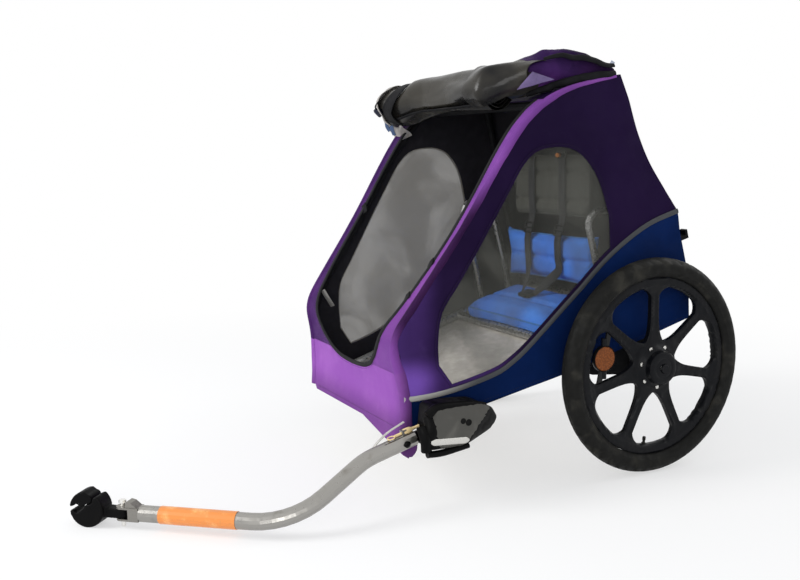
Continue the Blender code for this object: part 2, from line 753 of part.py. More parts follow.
def nose_panel():
    s1 = S_SPLIT - GAP
    flap_x = edge_x(FRONT, 0) + FLAP_FLARE
    left = [(flap_x, -FLAP_DROP), (edge_x(FRONT, 0) + FLAP_FLARE * 0.3, -0.012)]
    left += edge_points(FRONT, 0, s1)
    opening = [(x, FRONT.where(lambda p: p.y - z)) for x, z in smooth_line(OPENING_BOTTOM, 0.03)]
    opening[0] = (opening[0][0], s1)
    opening += [(-x, s) for x, s in reversed(opening[:-1])]
    right = list(reversed(edge_points(FRONT, CORNER_CUT, s1, -1)))
    bottom = [(-edge_x(FRONT, 0) + CORNER_CUT, 0.0), (-0.10, 0.0), (FLAP_START_X, 0.0),
              ((FLAP_START_X + flap_x) / 2, -FLAP_DROP * 0.6), (flap_x - FLAP_TIP, -FLAP_DROP)]
    strip_sheet("nose_panel", FRONT, [left + opening + right + bottom], PURPLE, 0.6, 0.075)


def opening_x(s):
    z = FRONT.point(s).y
    for (z0, x0), (z1, x1) in zip(OPENING, OPENING[1:]):
        if z <= z1:
            return x0 + (x1 - x0) * max(0, (z - z0)) / (z1 - z0)
    return OPENING[-1][1]


def front_band(prefix, sign):
    s0, s1 = S_SPLIT + GAP, S_ROOF - GAP
    outer = edge_points(FRONT, s0, s1, sign)
    n = 16
    inner = [(sign * opening_x(s1 + (s0 - s1) * i / n), s1 + (s0 - s1) * i / n) for i in range(n + 1)]
    strip_sheet(prefix + "_front_band", FRONT, [outer + inner], PURPLE, 0.6, 0.05)


def plain_strip(name, line, s0, s1, colour, crown=0.0):
    loop = edge_points(line, s0, s1) + list(reversed(edge_points(line, s0, s1, -1)))
    strip_sheet(name, line, [loop], colour, 0.6, 0.08, crown)


nose_panel()
both_sides(front_band)
plain_strip("roof_panel", FRONT, S_ROOF + GAP, FRONT.length - SKIN * 0.2, PURPLE)
plain_strip("rear_panel", REAR, SKIN + GAP * 2, S_REAR_PIPING - GAP, DARK_PURPLE)
plain_strip("rear_lower_panel", REAR, S_REAR_PIPING + GAP, REAR.length, NAVY)


def floor_sling():
    z = FLOOR_BOTTOM + FLOOR_THICK / 2
    y0 = FRONT.point(FRONT.where(lambda p: p.y - z)).x + SKIN + GAP * 3
    y1 = REAR.point(REAR.length - 0.004).x - SKIN - GAP * 2
    ys = [y0 + (y1 - y0) * i / 12 for i in range(13)]
    right = [(half_width(y, z) - EDGE - GAP, y) for y in ys]
    left = [(-x, y) for x, y in reversed(right)]
    floor = finish("floor_sling", prism(right + left, FLOOR_BOTTOM, FLOOR_TOP, along_z), (0.62, 0.60, 0.55),
                   0.7)
    reach = RAIL_RADIUS + BOARD_CLEAR
    y0, y1 = FRONT_TUBE_Y + reach, SEAT_BAR_Y - reach
    ys = [y0 + (y1 - y0) * i / 6 for i in range(7)]
    right = [(rail_x(y) - reach, y) for y in ys]
    left = [(-x, y) for x, y in reversed(right)]
    boolean(floor, prism(right + left, FLOOR_TOP - 0.001, FLOOR_TOP + FOOT_BOARD, along_z), "UNION")


floor_sling()


def piping(prefix, sign):
    path = []
    rise = CHORD_EASE * 0.8 + PIPING_THICK / 2
    for p in PIPING.pts:
        path.append(Vector((sign * (half_width(p.x, p.y) + rise), p.x, p.y)))
    w, t = PIPING_WIDTH / 2, PIPING_THICK / 2
    section = [(-w, -t), (w, -t), (w * 0.6, t), (-w * 0.6, t)]
    finish(prefix + "_piping", sweep(path, section, Vector((sign, 0, 0))), (0.42, 0.42, 0.42), 0.5)


both_sides(piping)


# Seat and harness

def pad(half_x, length, thick, crown, channels, nx=12, ny=8, draw=0.010):
    """Cushion shape: height(u, v) of its crowned front, its drawn-in plan, and its mesh rows.

    u runs from -1 to 1 across and v from 0 to 1 along; each channel is a sewn line across.
    """
    def height(u, v, sewn=True):
        a, b = abs(u), abs(2 * v - 1)
        h = thick * (1 - 0.38 * max(a, b) ** 8) + crown * (1 - a ** 3) * (1 - b ** 3)
        if sewn:
            for c in channels:
                h -= CHANNEL_DEPTH * max(0.0, 1 - abs(v - c) / CHANNEL_HALF) * (1 - a ** 6)
        return h

    def plan(u, v):
        b = 2 * v - 1
        x = u * (half_x - draw * (1 - b * b) * abs(u) ** 3)
        y = length * v + draw * (1 - 2 * v) * (1 - u * u) * abs(b) ** 3
        return x, y

    rows = [j / ny for j in range(ny + 1)]
    for c in channels:
        rows = [v for v in rows if abs(v - c) > 1.6 * CHANNEL_HALF or v in (0.0, 1.0)]
        rows += [c - CHANNEL_HALF, c, c + CHANNEL_HALF]
    return height, plan, [2 * i / nx - 1 for i in range(nx + 1)], sorted(rows)


def pad_mesh(shape, place):
    height, plan, columns, rows = shape
    nx, ny = len(columns) - 1, len(rows) - 1
    bm = bmesh.new()
    front, back = {}, {}
    for i, u in enumerate(columns):
        for j, v in enumerate(rows):
            x, y = plan(u, v)
            front[i, j] = bm.verts.new(place(x, y, height(u, v)))
            back[i, j] = bm.verts.new(place(x, y, 0.0))
    for i in range(nx):
        for j in range(ny):
            bm.faces.new((front[i, j], front[i + 1, j], front[i + 1, j + 1], front[i, j + 1]))
            bm.faces.new((back[i, j], back[i, j + 1], back[i + 1, j + 1], back[i + 1, j]))
    rim = ([(i, 0) for i in range(nx)] + [(nx, j) for j in range(ny)]
           + [(i, ny) for i in range(nx, 0, -1)] + [(0, j) for j in range(ny, 0, -1)])
    for a, b in zip(rim, rim[1:] + rim[:1]):
        bm.faces.new((front[b], front[a], back[a], back[b]))
    return bm


SEAT_BASE_Z = RAIL_Z + RAIL_RADIUS + GAP
SEAT_CROWN = 0.007
seat_shape = pad(SEAT_HALF_WIDTH, SEAT_REAR - SEAT_FRONT, SEAT_THICK, SEAT_CROWN, (0.42,))


def on_seat(x, y, w):
    return Vector((x, SEAT_FRONT + y, SEAT_BASE_Z + w))


finish("seat_cushion", pad_mesh(seat_shape, on_seat), BLUE, 0.7)

SEAT_TOP_Z = SEAT_BASE_Z + SEAT_THICK + SEAT_CROWN + GAP
BACK_FOOT = Vector((SEAT_REAR - 0.004, SEAT_TOP_Z))
BACK_DIR = (Vector((SEAT_REAR + BACK_LEAN_Y - 0.020, BACK_TOP_Z)) - BACK_FOOT)
BACK_LENGTH = BACK_DIR.length
BACK_DIR.normalize()
BACK_OUT = Vector((-BACK_DIR.y, BACK_DIR.x))      # toward the child
back_shape = pad(SEAT_HALF_WIDTH, BACK_LENGTH, BACK_THICK, 0.006, (0.5,))


def on_back(x, v, w):
    p = BACK_FOOT + BACK_DIR * v + BACK_OUT * w
    return Vector((x, p.x, p.y))


finish("lower_backrest", pad_mesh(back_shape, on_back), BLUE, 0.7)

UPPER_FOOT = BACK_FOOT + BACK_DIR * (BACK_LENGTH + GAP)
UPPER_DIR = Vector(UPPER_BACK_TOP) - UPPER_FOOT
UPPER_LENGTH = UPPER_DIR.length
UPPER_DIR.normalize()
UPPER_OUT = Vector((-UPPER_DIR.y, UPPER_DIR.x))
UPPER_SINK = (1 - UPPER_DIR.dot(BACK_DIR)) * BACK_THICK + 0.002
upper_shape = pad(SEAT_HALF_WIDTH, UPPER_LENGTH, UPPER_BACK_THICK, 0.003, (0.33, 0.66), 10)


def on_upper(x, v, w):
    p = UPPER_FOOT + UPPER_DIR * v + UPPER_OUT * w
    return Vector((x, p.x, p.y))


finish("upper_backrest", pad_mesh(upper_shape, on_upper), (0.10, 0.10, 0.10), 0.8)


def front_of(shape, length, half_x, x, v, lift):
    """Height over a pad's back of what lies on its front, bridging the channels."""
    return shape[0](x / half_x, v / length, False) + lift


BUCKLE_Y, BUCKLE_HALF, BUCKLE_THICK = -0.060, (0.022, 0.017), 0.011
BUCKLE_BASE = SEAT_TOP_Z


def strap_path(x):
    """Down the upper and lower backrest, then down to the buckle on the seat."""
    lift = STRAP_THICK / 2 + GAP * 2
    path = []
    for k in (0.86, 0.66, 0.5, 0.33, 0.14):
        v = UPPER_LENGTH * k
        path.append(on_upper(x, v, front_of(upper_shape, UPPER_LENGTH, SEAT_HALF_WIDTH, x, v, lift)
                             + 0.0008))
    for k in (0.84, 0.68, 0.5, 0.32):
        v = BACK_LENGTH * k
        path.append(on_back(x, v, front_of(back_shape, BACK_LENGTH, SEAT_HALF_WIDTH, x, v, lift)
                            + 0.0015))
    return path


def shoulder_strap(prefix, sign):
    path = strap_path(sign * STRAP_AT_X)
    tongue = STRAP_WIDTH * 0.24
    end = Vector((sign * (BUCKLE_HALF[0] + GAP + tongue), BUCKLE_Y, BUCKLE_BASE + BUCKLE_THICK / 2))
    last = path[-1]
    path += [last.lerp(end, 0.4) + Vector((0, 0, 0.004)), end]
    w, t = STRAP_WIDTH / 2, STRAP_THICK / 2
    section = [(-w, -t), (w, -t), (w, t), (-w, t)]
    bm = bmesh.new()
    rings = []
    for i, p in enumerate(path):
        tangent = (path[min(i + 1, len(path) - 1)] - path[max(i - 1, 0)]).normalized()
        across = Vector((1, 0, 0))
        across = (across - tangent * across.dot(tangent)).normalized()
        out = across.cross(tangent)
        width = tongue / w if i == len(path) - 1 else 1.0
        rings.append([bm.verts.new(p + across * u * width + out * v) for u, v in section])
    for a, b in zip(rings, rings[1:]):
        for k in range(4):
            bm.faces.new((a[k], a[(k + 1) % 4], b[(k + 1) % 4], b[k]))
    bm.faces.new(rings[0])
    bm.faces.new(rings[-1])
    finish(prefix + "_shoulder_strap", bm, (0.035, 0.04, 0.05), 0.8)


both_sides(shoulder_strap)
bx, by = BUCKLE_HALF
finish("harness_buckle", box(-bx, bx, BUCKLE_Y - by, BUCKLE_Y + by, BUCKLE_BASE,
                             BUCKLE_BASE + BUCKLE_THICK, 0.003, 2), BLACK, 0.4)


# Rolled front cover and its strap

def roll_radius(x, a):
    """Radius of the roll along its length and round it: folds wind round and sag between straps."""
    t = (x - ROLL_RIGHT) / (ROLL_LEFT - ROLL_RIGHT)
    body_r = ROLL_RADIUS * (1 - 0.10 * t + 0.05 * sin(7.5 * t + 0.6))
    fold = 0.0035 * sin(3 * a + 5.5 * t) + 0.0022 * sin(5 * a - 9 * t + 1.0)
    waist = 0.007 * math.exp(-((x - ROLL_STRAP_X) / 0.022) ** 2)
    return body_r + fold * (1 - math.exp(-((x - ROLL_STRAP_X) / 0.03) ** 2)) - waist


def roll_axis(x, height):
    """Middle of the roll: it lies on the roof's front edge and droops over it at the right."""
    droop = 0.034 * smoothstep((-0.10 - x) / 0.16)
    return FRONT.point(S_ROOF - 0.030 - droop, -height)


def roll_section(x, height, lift=0.0, count=18):
    middle = roll_axis(x, height)
    out = []
    for k in range(count):
        a = 2 * pi * k / count
        r = roll_radius(x, a) + lift
        out.append(Vector((middle.x + r * cos(a), middle.y + r * sin(a) * ROLL_FLAT)))
    return out


def clearance(p):
    """Distance of a point in the y-z plane from the front line."""
    best = 1.0
    for a, b in zip(FRONT.pts, FRONT.pts[1:]):
        k = min(1, max(0, (p - a).dot(b - a) / (b - a).length_squared))
        best = min(best, (a.lerp(b, k) - p).length)
    return best


def roll_places():
    """Stations along the roll: even ones, and those at the strap's edges."""
    n = 15
    xs = [ROLL_RIGHT + (ROLL_LEFT - ROLL_RIGHT) * i / n for i in range(n + 1)]
    half = STRAP_WIDTH / 2
    xs = [x for x in xs if abs(x - ROLL_STRAP_X) > half + 0.010]
    return sorted(xs + [ROLL_STRAP_X - half, ROLL_STRAP_X + half])


ROLL_STRAP_LIFTS = (GAP * 1.5, GAP * 1.5 + STRAP_THICK * 0.8)


def roll_height():
    """Height of the roll's axis at which its lowest fold, or its strap, meets the roof's edge."""
    height = ROLL_RADIUS
    places = roll_places()
    quarters = (0.0, 0.25, 0.5, 0.75)
    for _ in range(4):
        rings = []
        for x in places:
            lift = ROLL_STRAP_LIFTS[1] if abs(x - ROLL_STRAP_X) <= STRAP_WIDTH / 2 + GAP else 0.0
            rings.append(roll_section(x, height, lift))
        low = 1.0
        for a, b in zip(rings, rings[1:]):
            for k in range(len(a)):
                for t in quarters:
                    p, q = a[k - 1].lerp(a[k], t), b[k - 1].lerp(b[k], t)
                    low = min([low] + [clearance(p.lerp(q, u)) for u in quarters])
        height += ROLL_SEAT_GAP - low
    return height


ROLL_HEIGHT = roll_height()


def roll_ring(bm, x, lift=0.0):
    return [bm.verts.new((x, p.x, p.y)) for p in roll_section(x, ROLL_HEIGHT, lift)]


def ring_walls(bm, a, b):
    n = len(a)
    for k in range(n):
        bm.faces.new((a[k], a[(k + 1) % n], b[(k + 1) % n], b[k]))


def rolled_cover():
    bm = bmesh.new()
    rings = [roll_ring(bm, x) for x in roll_places()]
    for a, b in zip(rings, rings[1:]):
        ring_walls(bm, a, b)
    bm.faces.new(rings[0])
    bm.faces.new(rings[-1])
    finish("rolled_cover", bm, (0.09, 0.09, 0.09), 0.35)


rolled_cover()


def roll_strap():
    """Strap round the roll."""
    bm = bmesh.new()
    x0, x1 = ROLL_STRAP_X - STRAP_WIDTH / 2, ROLL_STRAP_X + STRAP_WIDTH / 2
    lifts = ROLL_STRAP_LIFTS
    rings = [roll_ring(bm, x0, lifts[0]), roll_ring(bm, x0, lifts[1]), roll_ring(bm, x1, lifts[1]),
             roll_ring(bm, x1, lifts[0])]
    for a, b in zip(rings, rings[1:] + rings[:1]):
        ring_walls(bm, a, b)
    finish("roll_strap", bm, BLACK, 0.8)


roll_strap()


def folded_flap():
    """Heaped side flap with its main folds, lying on the roof beside the roll."""
    bm = bmesh.new()
    rings = []
    count = 16
    for i, (x, y, half, high) in enumerate(FOLD_SECTIONS):
        a = Vector(FOLD_SECTIONS[max(i - 1, 0)][:2])
        b = Vector(FOLD_SECTIONS[min(i + 1, len(FOLD_SECTIONS) - 1)][:2])
        along = (b - a).normalized() if i else Vector((1, 0))
        across = Vector((along.y, -along.x))
        base = max(roof_z(y + across.y * half), roof_z(y - across.y * half), roof_z(y)) + CHORD_EASE * 0.5
        ring = []
        for k in range(count):
            t = 2 * pi * k / count
            fold = 1 + 0.09 * sin(3 * t + 1.1 * i) * max(0.0, sin(t))
            u = half * cos(t) * fold
            w = high * 0.5 * (1 + sin(t) * (fold if sin(t) > 0 else 1.0))
            ring.append(bm.verts.new((x + across.x * u, y + across.y * u, base + w)))
        rings.append(ring)
    for a, b in zip(rings, rings[1:]):
        ring_walls(bm, a, b)
    bm.faces.new(rings[0])
    bm.faces.new(rings[-1])
    finish("folded_flap", bm, DARK_PURPLE, 0.6)


def roof_z(y):
    return FRONT.point(FRONT.where(lambda p: p.x - y)).y


folded_flap()


def rear_hook():
    """Hook on the rear corner: a plate on the blue panel with a turned-up lip."""
    z = 0.231
    y = max(p.x for p in REAR.pts if abs(p.y - z) < 0.035) + GAP * 3
    x = half_width(y, z) - 0.042
    outline = ((y, z - 0.022), (y + 0.007, z - 0.022), (y + 0.007, z - 0.006), (y + 0.050, z - 0.006),
               (y + 0.050, z + 0.016), (y + 0.042, z + 0.016), (y + 0.042, z + 0.004),
               (y + 0.007, z + 0.004), (y + 0.007, z + 0.020), (y, z + 0.020))
    finish("rear_hook", prism(outline, x - 0.010, x + 0.010, along_x, 0.001), BLACK, 0.5)


rear_hook()


# Tow bar receiver, bolted under the rail at the left front corner

def receiver():
    block = finish("tow_bar_receiver",
                   prism(rounded_outline(RECEIVER_OUTLINE, 0.012), RECEIVER_INNER, RECEIVER_OUTER,
                         along_x, 0.003), BLACK, 0.45)
    half = TONGUE_THICK / 2
    px, py, pz = BAR_PIVOT
    nose = [(py + TONGUE_RADIUS * cos(a), pz + TONGUE_RADIUS * sin(a))
            for a in (pi / 2 + pi * i / 8 for i in range(9))]
    tongue = nose + [(py + 0.055, pz - TONGUE_RADIUS), (py + 0.055, pz + TONGUE_RADIUS)]
    boolean(block, prism(tongue, px - half, px + half, along_x), "UNION")
    boolean(block, moved(rod(BOLT_RADIUS + GAP, -0.03, 0.03), BAR_PIVOT), "DIFFERENCE")
    y0, y1 = RECEIVER_OUTLINE[1][0] - 0.02, RECEIVER_OUTLINE[4][0] - 0.02
    flange = box(rail_x(-0.48) - 0.02, RECEIVER_INNER + 0.02, y0, y1, 0.030, BODY_BOTTOM - GAP * 2)
    boolean(block, flange, "UNION")
    recess = prism(strip_outline(GAP), RECEIVER_OUTER - PLATE_THICK - GAP, RECEIVER_OUTER + 0.01, along_x)
    boolean(block, recess, "DIFFERENCE")


def strip_outline(grow=0.0):
    """Outline of the bright strip along the receiver's lower edge, or of the recess it lies in."""
    (y0, z0), (y1, z1) = RECEIVER_OUTLINE[0], RECEIVER_OUTLINE[1]
    along = Vector((y1 - y0, z1 - z0)).normalized()
    up = Vector((-along.y, along.x))
    a = Vector((y0, z0)) + along * (0.007 - grow) + up * (0.010 - grow)
    b = Vector((y1, z1)) + along * (0.004 + grow) + up * (0.007 - grow)
    high = up * (PLATE_WIDTH + 2 * grow)
    return rounded_outline([tuple(a), tuple(b), tuple(b + high), tuple(a + high)], 0.005)


def moved(bm, offset):
    bmesh.ops.translate(bm, verts=bm.verts, vec=Vector(offset))
    return bm


receiver()


def receiver_plate():
    """Bright steel strip let into the receiver's outer face, along its lower edge."""
    face = RECEIVER_OUTER - 0.0001
    finish("receiver_plate", prism(strip_outline(), face - PLATE_THICK, face, along_x), (0.75, 0.74, 0.72),
           0.3, 1.0)


receiver_plate()

# Tow bar, on its own frame at the cross bolt
bar = empty("tow_bar_pivot", body, BAR_PIVOT)


def receiver_bolt():
    """Bolt through the bar and the receiver's tongue, domed head outside and nut inside."""
    low, high = -BAR_RADIUS - 0.0045, BAR_RADIUS + GAP
    nut, nut_width, head, head_height = 0.0070, 0.0042, 0.0075, 0.004
    profile = [(low, 0.0), (low, nut), (low + nut_width, nut), (low + nut_width, BOLT_RADIUS),
               (high, BOLT_RADIUS), (high, head), (high + head_height * 0.5, head),
               (high + head_height, head * 0.6), (high + head_height, 0.0)]
    finish("receiver_bolt", turned(profile, 14), (0.10, 0.09, 0.085), 0.4, 0.8, body, BAR_PIVOT)


receiver_bolt()

bar_dir = (BAR_ELBOW - HITCH_POINT).normalized()
flat_dir = Matrix.Rotation(TILT, 3, "X") @ bar_dir
FORK_BACK = 0.040
rod_end = HITCH_POINT - BAR_PIVOT + bar_dir * (FORK_BACK + BAR_RADIUS * abs(flat_dir.z) + GAP * 1.5)


def tow_bar():
    path = rounded([(0, BAR_PAST_BOLT, 0), BAR_STRAIGHT_END - BAR_PIVOT, BAR_ELBOW - BAR_PIVOT, rod_end],
                   BAR_BEND_RADIUS, 9)
    obj = finish("tow_bar", tube(path, BAR_RADIUS, 16), (0.78, 0.78, 0.77), 0.3, 1.0, bar)
    guide = box(-0.006, 0.006, 0.0005, 0.0115, BAR_RADIUS * 0.7, BAR_RADIUS + GAP + LATCH_RADIUS * 2 + 0.003)
    boolean(obj, guide, "UNION")
    pin_z = BAR_RADIUS + GAP + LATCH_RADIUS
    hole = sweep([(0, -0.02, pin_z), (0, 0.03, pin_z)], circle(LATCH_RADIUS + GAP, 10))
    boolean(obj, hole, "DIFFERENCE")
    slot = TONGUE_THICK / 2 + GAP
    boolean(obj, box(-slot, slot, -BAR_SLOT_DEPTH, 0.03, -0.03, BAR_RADIUS * 0.9), "DIFFERENCE")
    boolean(obj, rod(BOLT_RADIUS + GAP, -0.03, 0.03), "DIFFERENCE")


tow_bar()


def lock_pin():
    """Pull pin on top of the bar with a flat ring; its tip meets the receiver's front face."""
    z = BAR_RADIUS + GAP + LATCH_RADIUS
    (y0, z0), (y1, z1) = RECEIVER_OUTLINE[0], RECEIVER_OUTLINE[-1]
    world_z = BAR_PIVOT.z + z - LATCH_RADIUS
    face = y0 + (y1 - y0) * (world_z - z0) / (z1 - z0) - BAR_PIVOT.y
    tip = face - GAP * 2
    tail = tip - LATCH_LENGTH
    obj = finish("lock_pin", sweep([(0, tail, 0), (0, tip, 0)], circle(LATCH_RADIUS * 0.99, 10)),
                 (0.80, 0.66, 0.42), 0.5, 0.0, bar, (0, 0, z))
    ring = [(LATCH_RING * cos(a), tail - LATCH_RING + LATCH_RING * sin(a), 0)
            for a in (2 * pi * i / 12 for i in range(12))]
    boolean(obj, tube(ring, LATCH_RADIUS * 0.5, 5, closed=True), "UNION")


lock_pin()


def reflective_band():
    start = HITCH_POINT - BAR_PIVOT + bar_dir * BAND_FROM_PIN
    ends = (start, start + bar_dir * BAND_LENGTH)
    outer = circle(BAR_RADIUS + GAP + BAND_WALL, 16, pi / 16)
    inner = circle(BAR_RADIUS + GAP, 16, pi / 16)
    side = bar_dir.cross(Vector((0, 0, 1))).normalized()
    top = side.cross(bar_dir).normalized()
    bm = bmesh.new()
    rings = [[bm.verts.new(p + side * u + top * v) for u, v in sec]
             for p, sec in ((ends[0], inner), (ends[0], outer), (ends[1], outer), (ends[1], inner))]
    for a, b in zip(rings, rings[1:] + rings[:1]):
        ring_walls(bm, a, b)
    finish("reflective_band", bm, (0.95, 0.33, 0.05), 0.35, 0.0, bar)


reflective_band()

# Hitch: its frame stands upright at rest and faces along the bar
heading = math.atan2(-flat_dir.x, flat_dir.y)
hitch = empty("hitch_frame", bar, HITCH_POINT - BAR_PIVOT,
              Matrix.Rotation(-TILT, 3, "X") @ Matrix.Rotation(heading, 3, "Z"))


def fork():
    """Fork on the bar's end: a socket block with two ears round the coupler's neck."""
    w = FORK_HALF_WIDTH
    inner = NECK_HALF_HEIGHT + GAP
    outer = inner + FORK_EAR
    round_end = [(-w * cos(a), -w * sin(a) * 0.95) for a in (pi * i / 10 for i in range(11))]
    plan = [(w, FORK_BACK), (-w, FORK_BACK)] + round_end
    obj = finish("tow_bar_fork", prism(plan, -outer, outer, along_z), (0.06, 0.06, 0.055), 0.5, 0.6,
                 hitch)
    boolean(obj, box(-0.03, 0.03, -0.03, w + 0.003, -inner, inner), "DIFFERENCE")
    wing = ((0.0095, outer - 0.001), (0.014, outer + 0.012), (0.024, outer + 0.010),
            (FORK_BACK - 0.002, outer - 0.001))
    boolean(obj, prism(wing, -w * 0.9, w * 0.9, along_x), "UNION")
    boolean(obj, rod(HITCH_PIN_RADIUS + GAP, -0.04, 0.04, 12, "Z"), "DIFFERENCE")
    return outer


FORK_OUTER = fork()


def hitch_pin():
    foot = -FORK_OUTER - 0.015
    head = FORK_OUTER + GAP
    profile = [(foot, 0.0), (foot, HITCH_PIN_RADIUS * 0.8), (foot + 0.002, HITCH_PIN_RADIUS),
               (head, HITCH_PIN_RADIUS), (head + 0.007, HITCH_PIN_RADIUS), (head + 0.007, 0.0080),
               (head + 0.012, 0.0074), (head + 0.014, 0.0)]
    finish("hitch_pin", turned(profile, 12, "Z"), (0.85, 0.84, 0.80), 0.25, 1.0, hitch)


hitch_pin()

coupler = empty("coupler_yaw", hitch)
HEAD_CENTRE = Vector((0, -HEAD_REACH, HEAD_LIFT))
JAW_CLEAR = GAP * 2


def arc_points(centre, radius, start, end, n):
    return [(centre[0] + radius * cos(radians(start + (end - start) * i / n)),
             centre[1] + radius * sin(radians(start + (end - start) * i / n))) for i in range(n + 1)]


def coupler_body():
    """Round head with a mouth at the front, and a neck between the fork's ears."""
    pivot = (JAW_PIVOT.y, JAW_PIVOT.z)
    outline = arc_points((0, 0), HEAD_RADIUS, 184, 410, 20)
    outline += arc_points(pivot, JAW_BOSS + JAW_CLEAR, 15, -110, 7)
    outline += [(-0.010, 0.000), (-0.016, -0.004)]
    outline += arc_points((-0.022, 0.000), 0.0075, -30, -150, 4)
    head = finish("coupler_body", prism(outline, -HEAD_HALF_WIDTH, HEAD_HALF_WIDTH, along_x, 0.0015),
                  BLACK, 0.4, 0.0, coupler, HEAD_CENTRE)
    neck_w = FORK_HALF_WIDTH - 0.001
    length = HEAD_REACH
    plan = [(-neck_w, 0.025), (neck_w, 0.025), (neck_w, length)]
    plan += [(neck_w * cos(a), length + neck_w * sin(a)) for a in (pi * i / 8 for i in range(1, 8))]
    plan += [(-neck_w, length)]
    boolean(head, prism(plan, -NECK_HALF_HEIGHT - HEAD_LIFT, NECK_HALF_HEIGHT - HEAD_LIFT, along_z),
            "UNION")
    boolean(head, moved(rod(HITCH_PIN_RADIUS + GAP, -0.04, 0.04, 12, "Z"), (0, length, 0)), "DIFFERENCE")


coupler_body()
jaw = empty("jaw_pivot", coupler, HEAD_CENTRE + JAW_PIVOT)


def coupler_jaw():
    """Upper jaw, hinged at the top of the head."""
    py, pz = JAW_PIVOT.y, JAW_PIVOT.z
    outline = arc_points((py, pz), JAW_BOSS, -110, 90, 10)
    top = arc_points((0, 0), HEAD_RADIUS, 96, 172, 8)
    outline += [p for p in top if p[0] < py - 0.002]
    outline += [(-0.036, 0.004)]
    outline += arc_points((-0.022, 0.003), 0.0075, 150, 30, 4)
    outline += [(-0.011, 0.004)]
    local = [(y - py, z - pz) for y, z in outline]
    finish("coupler_jaw", prism(local, -HEAD_HALF_WIDTH, HEAD_HALF_WIDTH, along_x, 0.001),
           (0.03, 0.03, 0.03), 0.4, 0.0, jaw)


coupler_jaw()


def clamp_knob():
    """Fluted knob on the head's right side that closes the jaw."""
    x = -HEAD_HALF_WIDTH - GAP
    outline = []
    for i in range(24):
        a = 2 * pi * i / 24
        r = KNOB_RADIUS * (1 - 0.07 * (i % 4 == 0))
        outline.append((r * cos(a), r * sin(a)))
    finish("clamp_knob", prism(outline, x - KNOB_LENGTH, x, along_x, 0.001), BLACK, 0.5, 0.0, coupler,
           HEAD_CENTRE + Vector((0, 0.004, -0.012)))


clamp_knob()


# Wheels

def spoke_gaps():
    """Rounded gaps between the spokes, from the hub to the rim."""
    gaps = []
    inner_r = HUB_RADIUS + 0.012
    outer_r = RIM_INNER
    for k in range(SPOKES):
        mid = pi / 2 + (k + 0.5) * 2 * pi / SPOKES
        spread = pi / SPOKES
        loop = []
        n = 8
        a_out = spread - math.asin(SPOKE_HALF_WIDTH * 1.25 / outer_r)
        for i in range(n + 1):
            a = a_out * (2 * i / n - 1)
            r = outer_r - (0.012 if i in (0, n) else 0.0)
            loop.append((r * cos(mid + a), r * sin(mid + a)))
        for r in (outer_r * 0.62, inner_r + 0.024):
            a = spread - math.asin(SPOKE_HALF_WIDTH / r)
            loop.append((r * cos(mid + a), r * sin(mid + a)))
        loop.append((inner_r * cos(mid), inner_r * sin(mid)))
        for r in (inner_r + 0.024, outer_r * 0.62):
            a = -(spread - math.asin(SPOKE_HALF_WIDTH / r))
            loop.append((r * cos(mid + a), r * sin(mid + a)))
        gaps.append(loop)
    return gaps


def wheel_half(r):
    """Half thickness of the moulded wheel at a radius."""
    if r > RIM_INNER - 0.001:
        return RIM_HALF_WIDTH
    if r > HUB_RADIUS + 0.004:
        return SPOKE_HALF_THICK
    return HUB_HALF_LENGTH


WHEEL_SIDES = 6 * SPOKES


def moulded_wheel(name, sign, frame):
    ring = circle(BEAD_RADIUS - GAP, WHEEL_SIDES, pi / 2)
    bore = circle(HUB_BORE, 16)
    extra = []
    for r, n in ((HUB_RADIUS + 0.0055, 28), (HUB_RADIUS, 28), (HUB_RADIUS - 0.006, 14),
                 (RIM_INNER + 0.006, WHEEL_SIDES)):
        extra += circle(r, n, pi / 2)

    def face(side):
        def put(y, z):
            r = math.hypot(y, z)
            h = wheel_half(r)
            if side > 0 and r <= HUB_RADIUS + 0.001:
                h += CAP_HEIGHT - 0.003 * (r > HUB_RADIUS - 0.001)
            return (sign * side * h, y, z)
        return put

    bm = slab([ring] + spoke_gaps() + [bore], face(1), face(-1), 0, extra)
    finish(name, bm, BLACK, 0.45, 0.0, frame, crease=30)


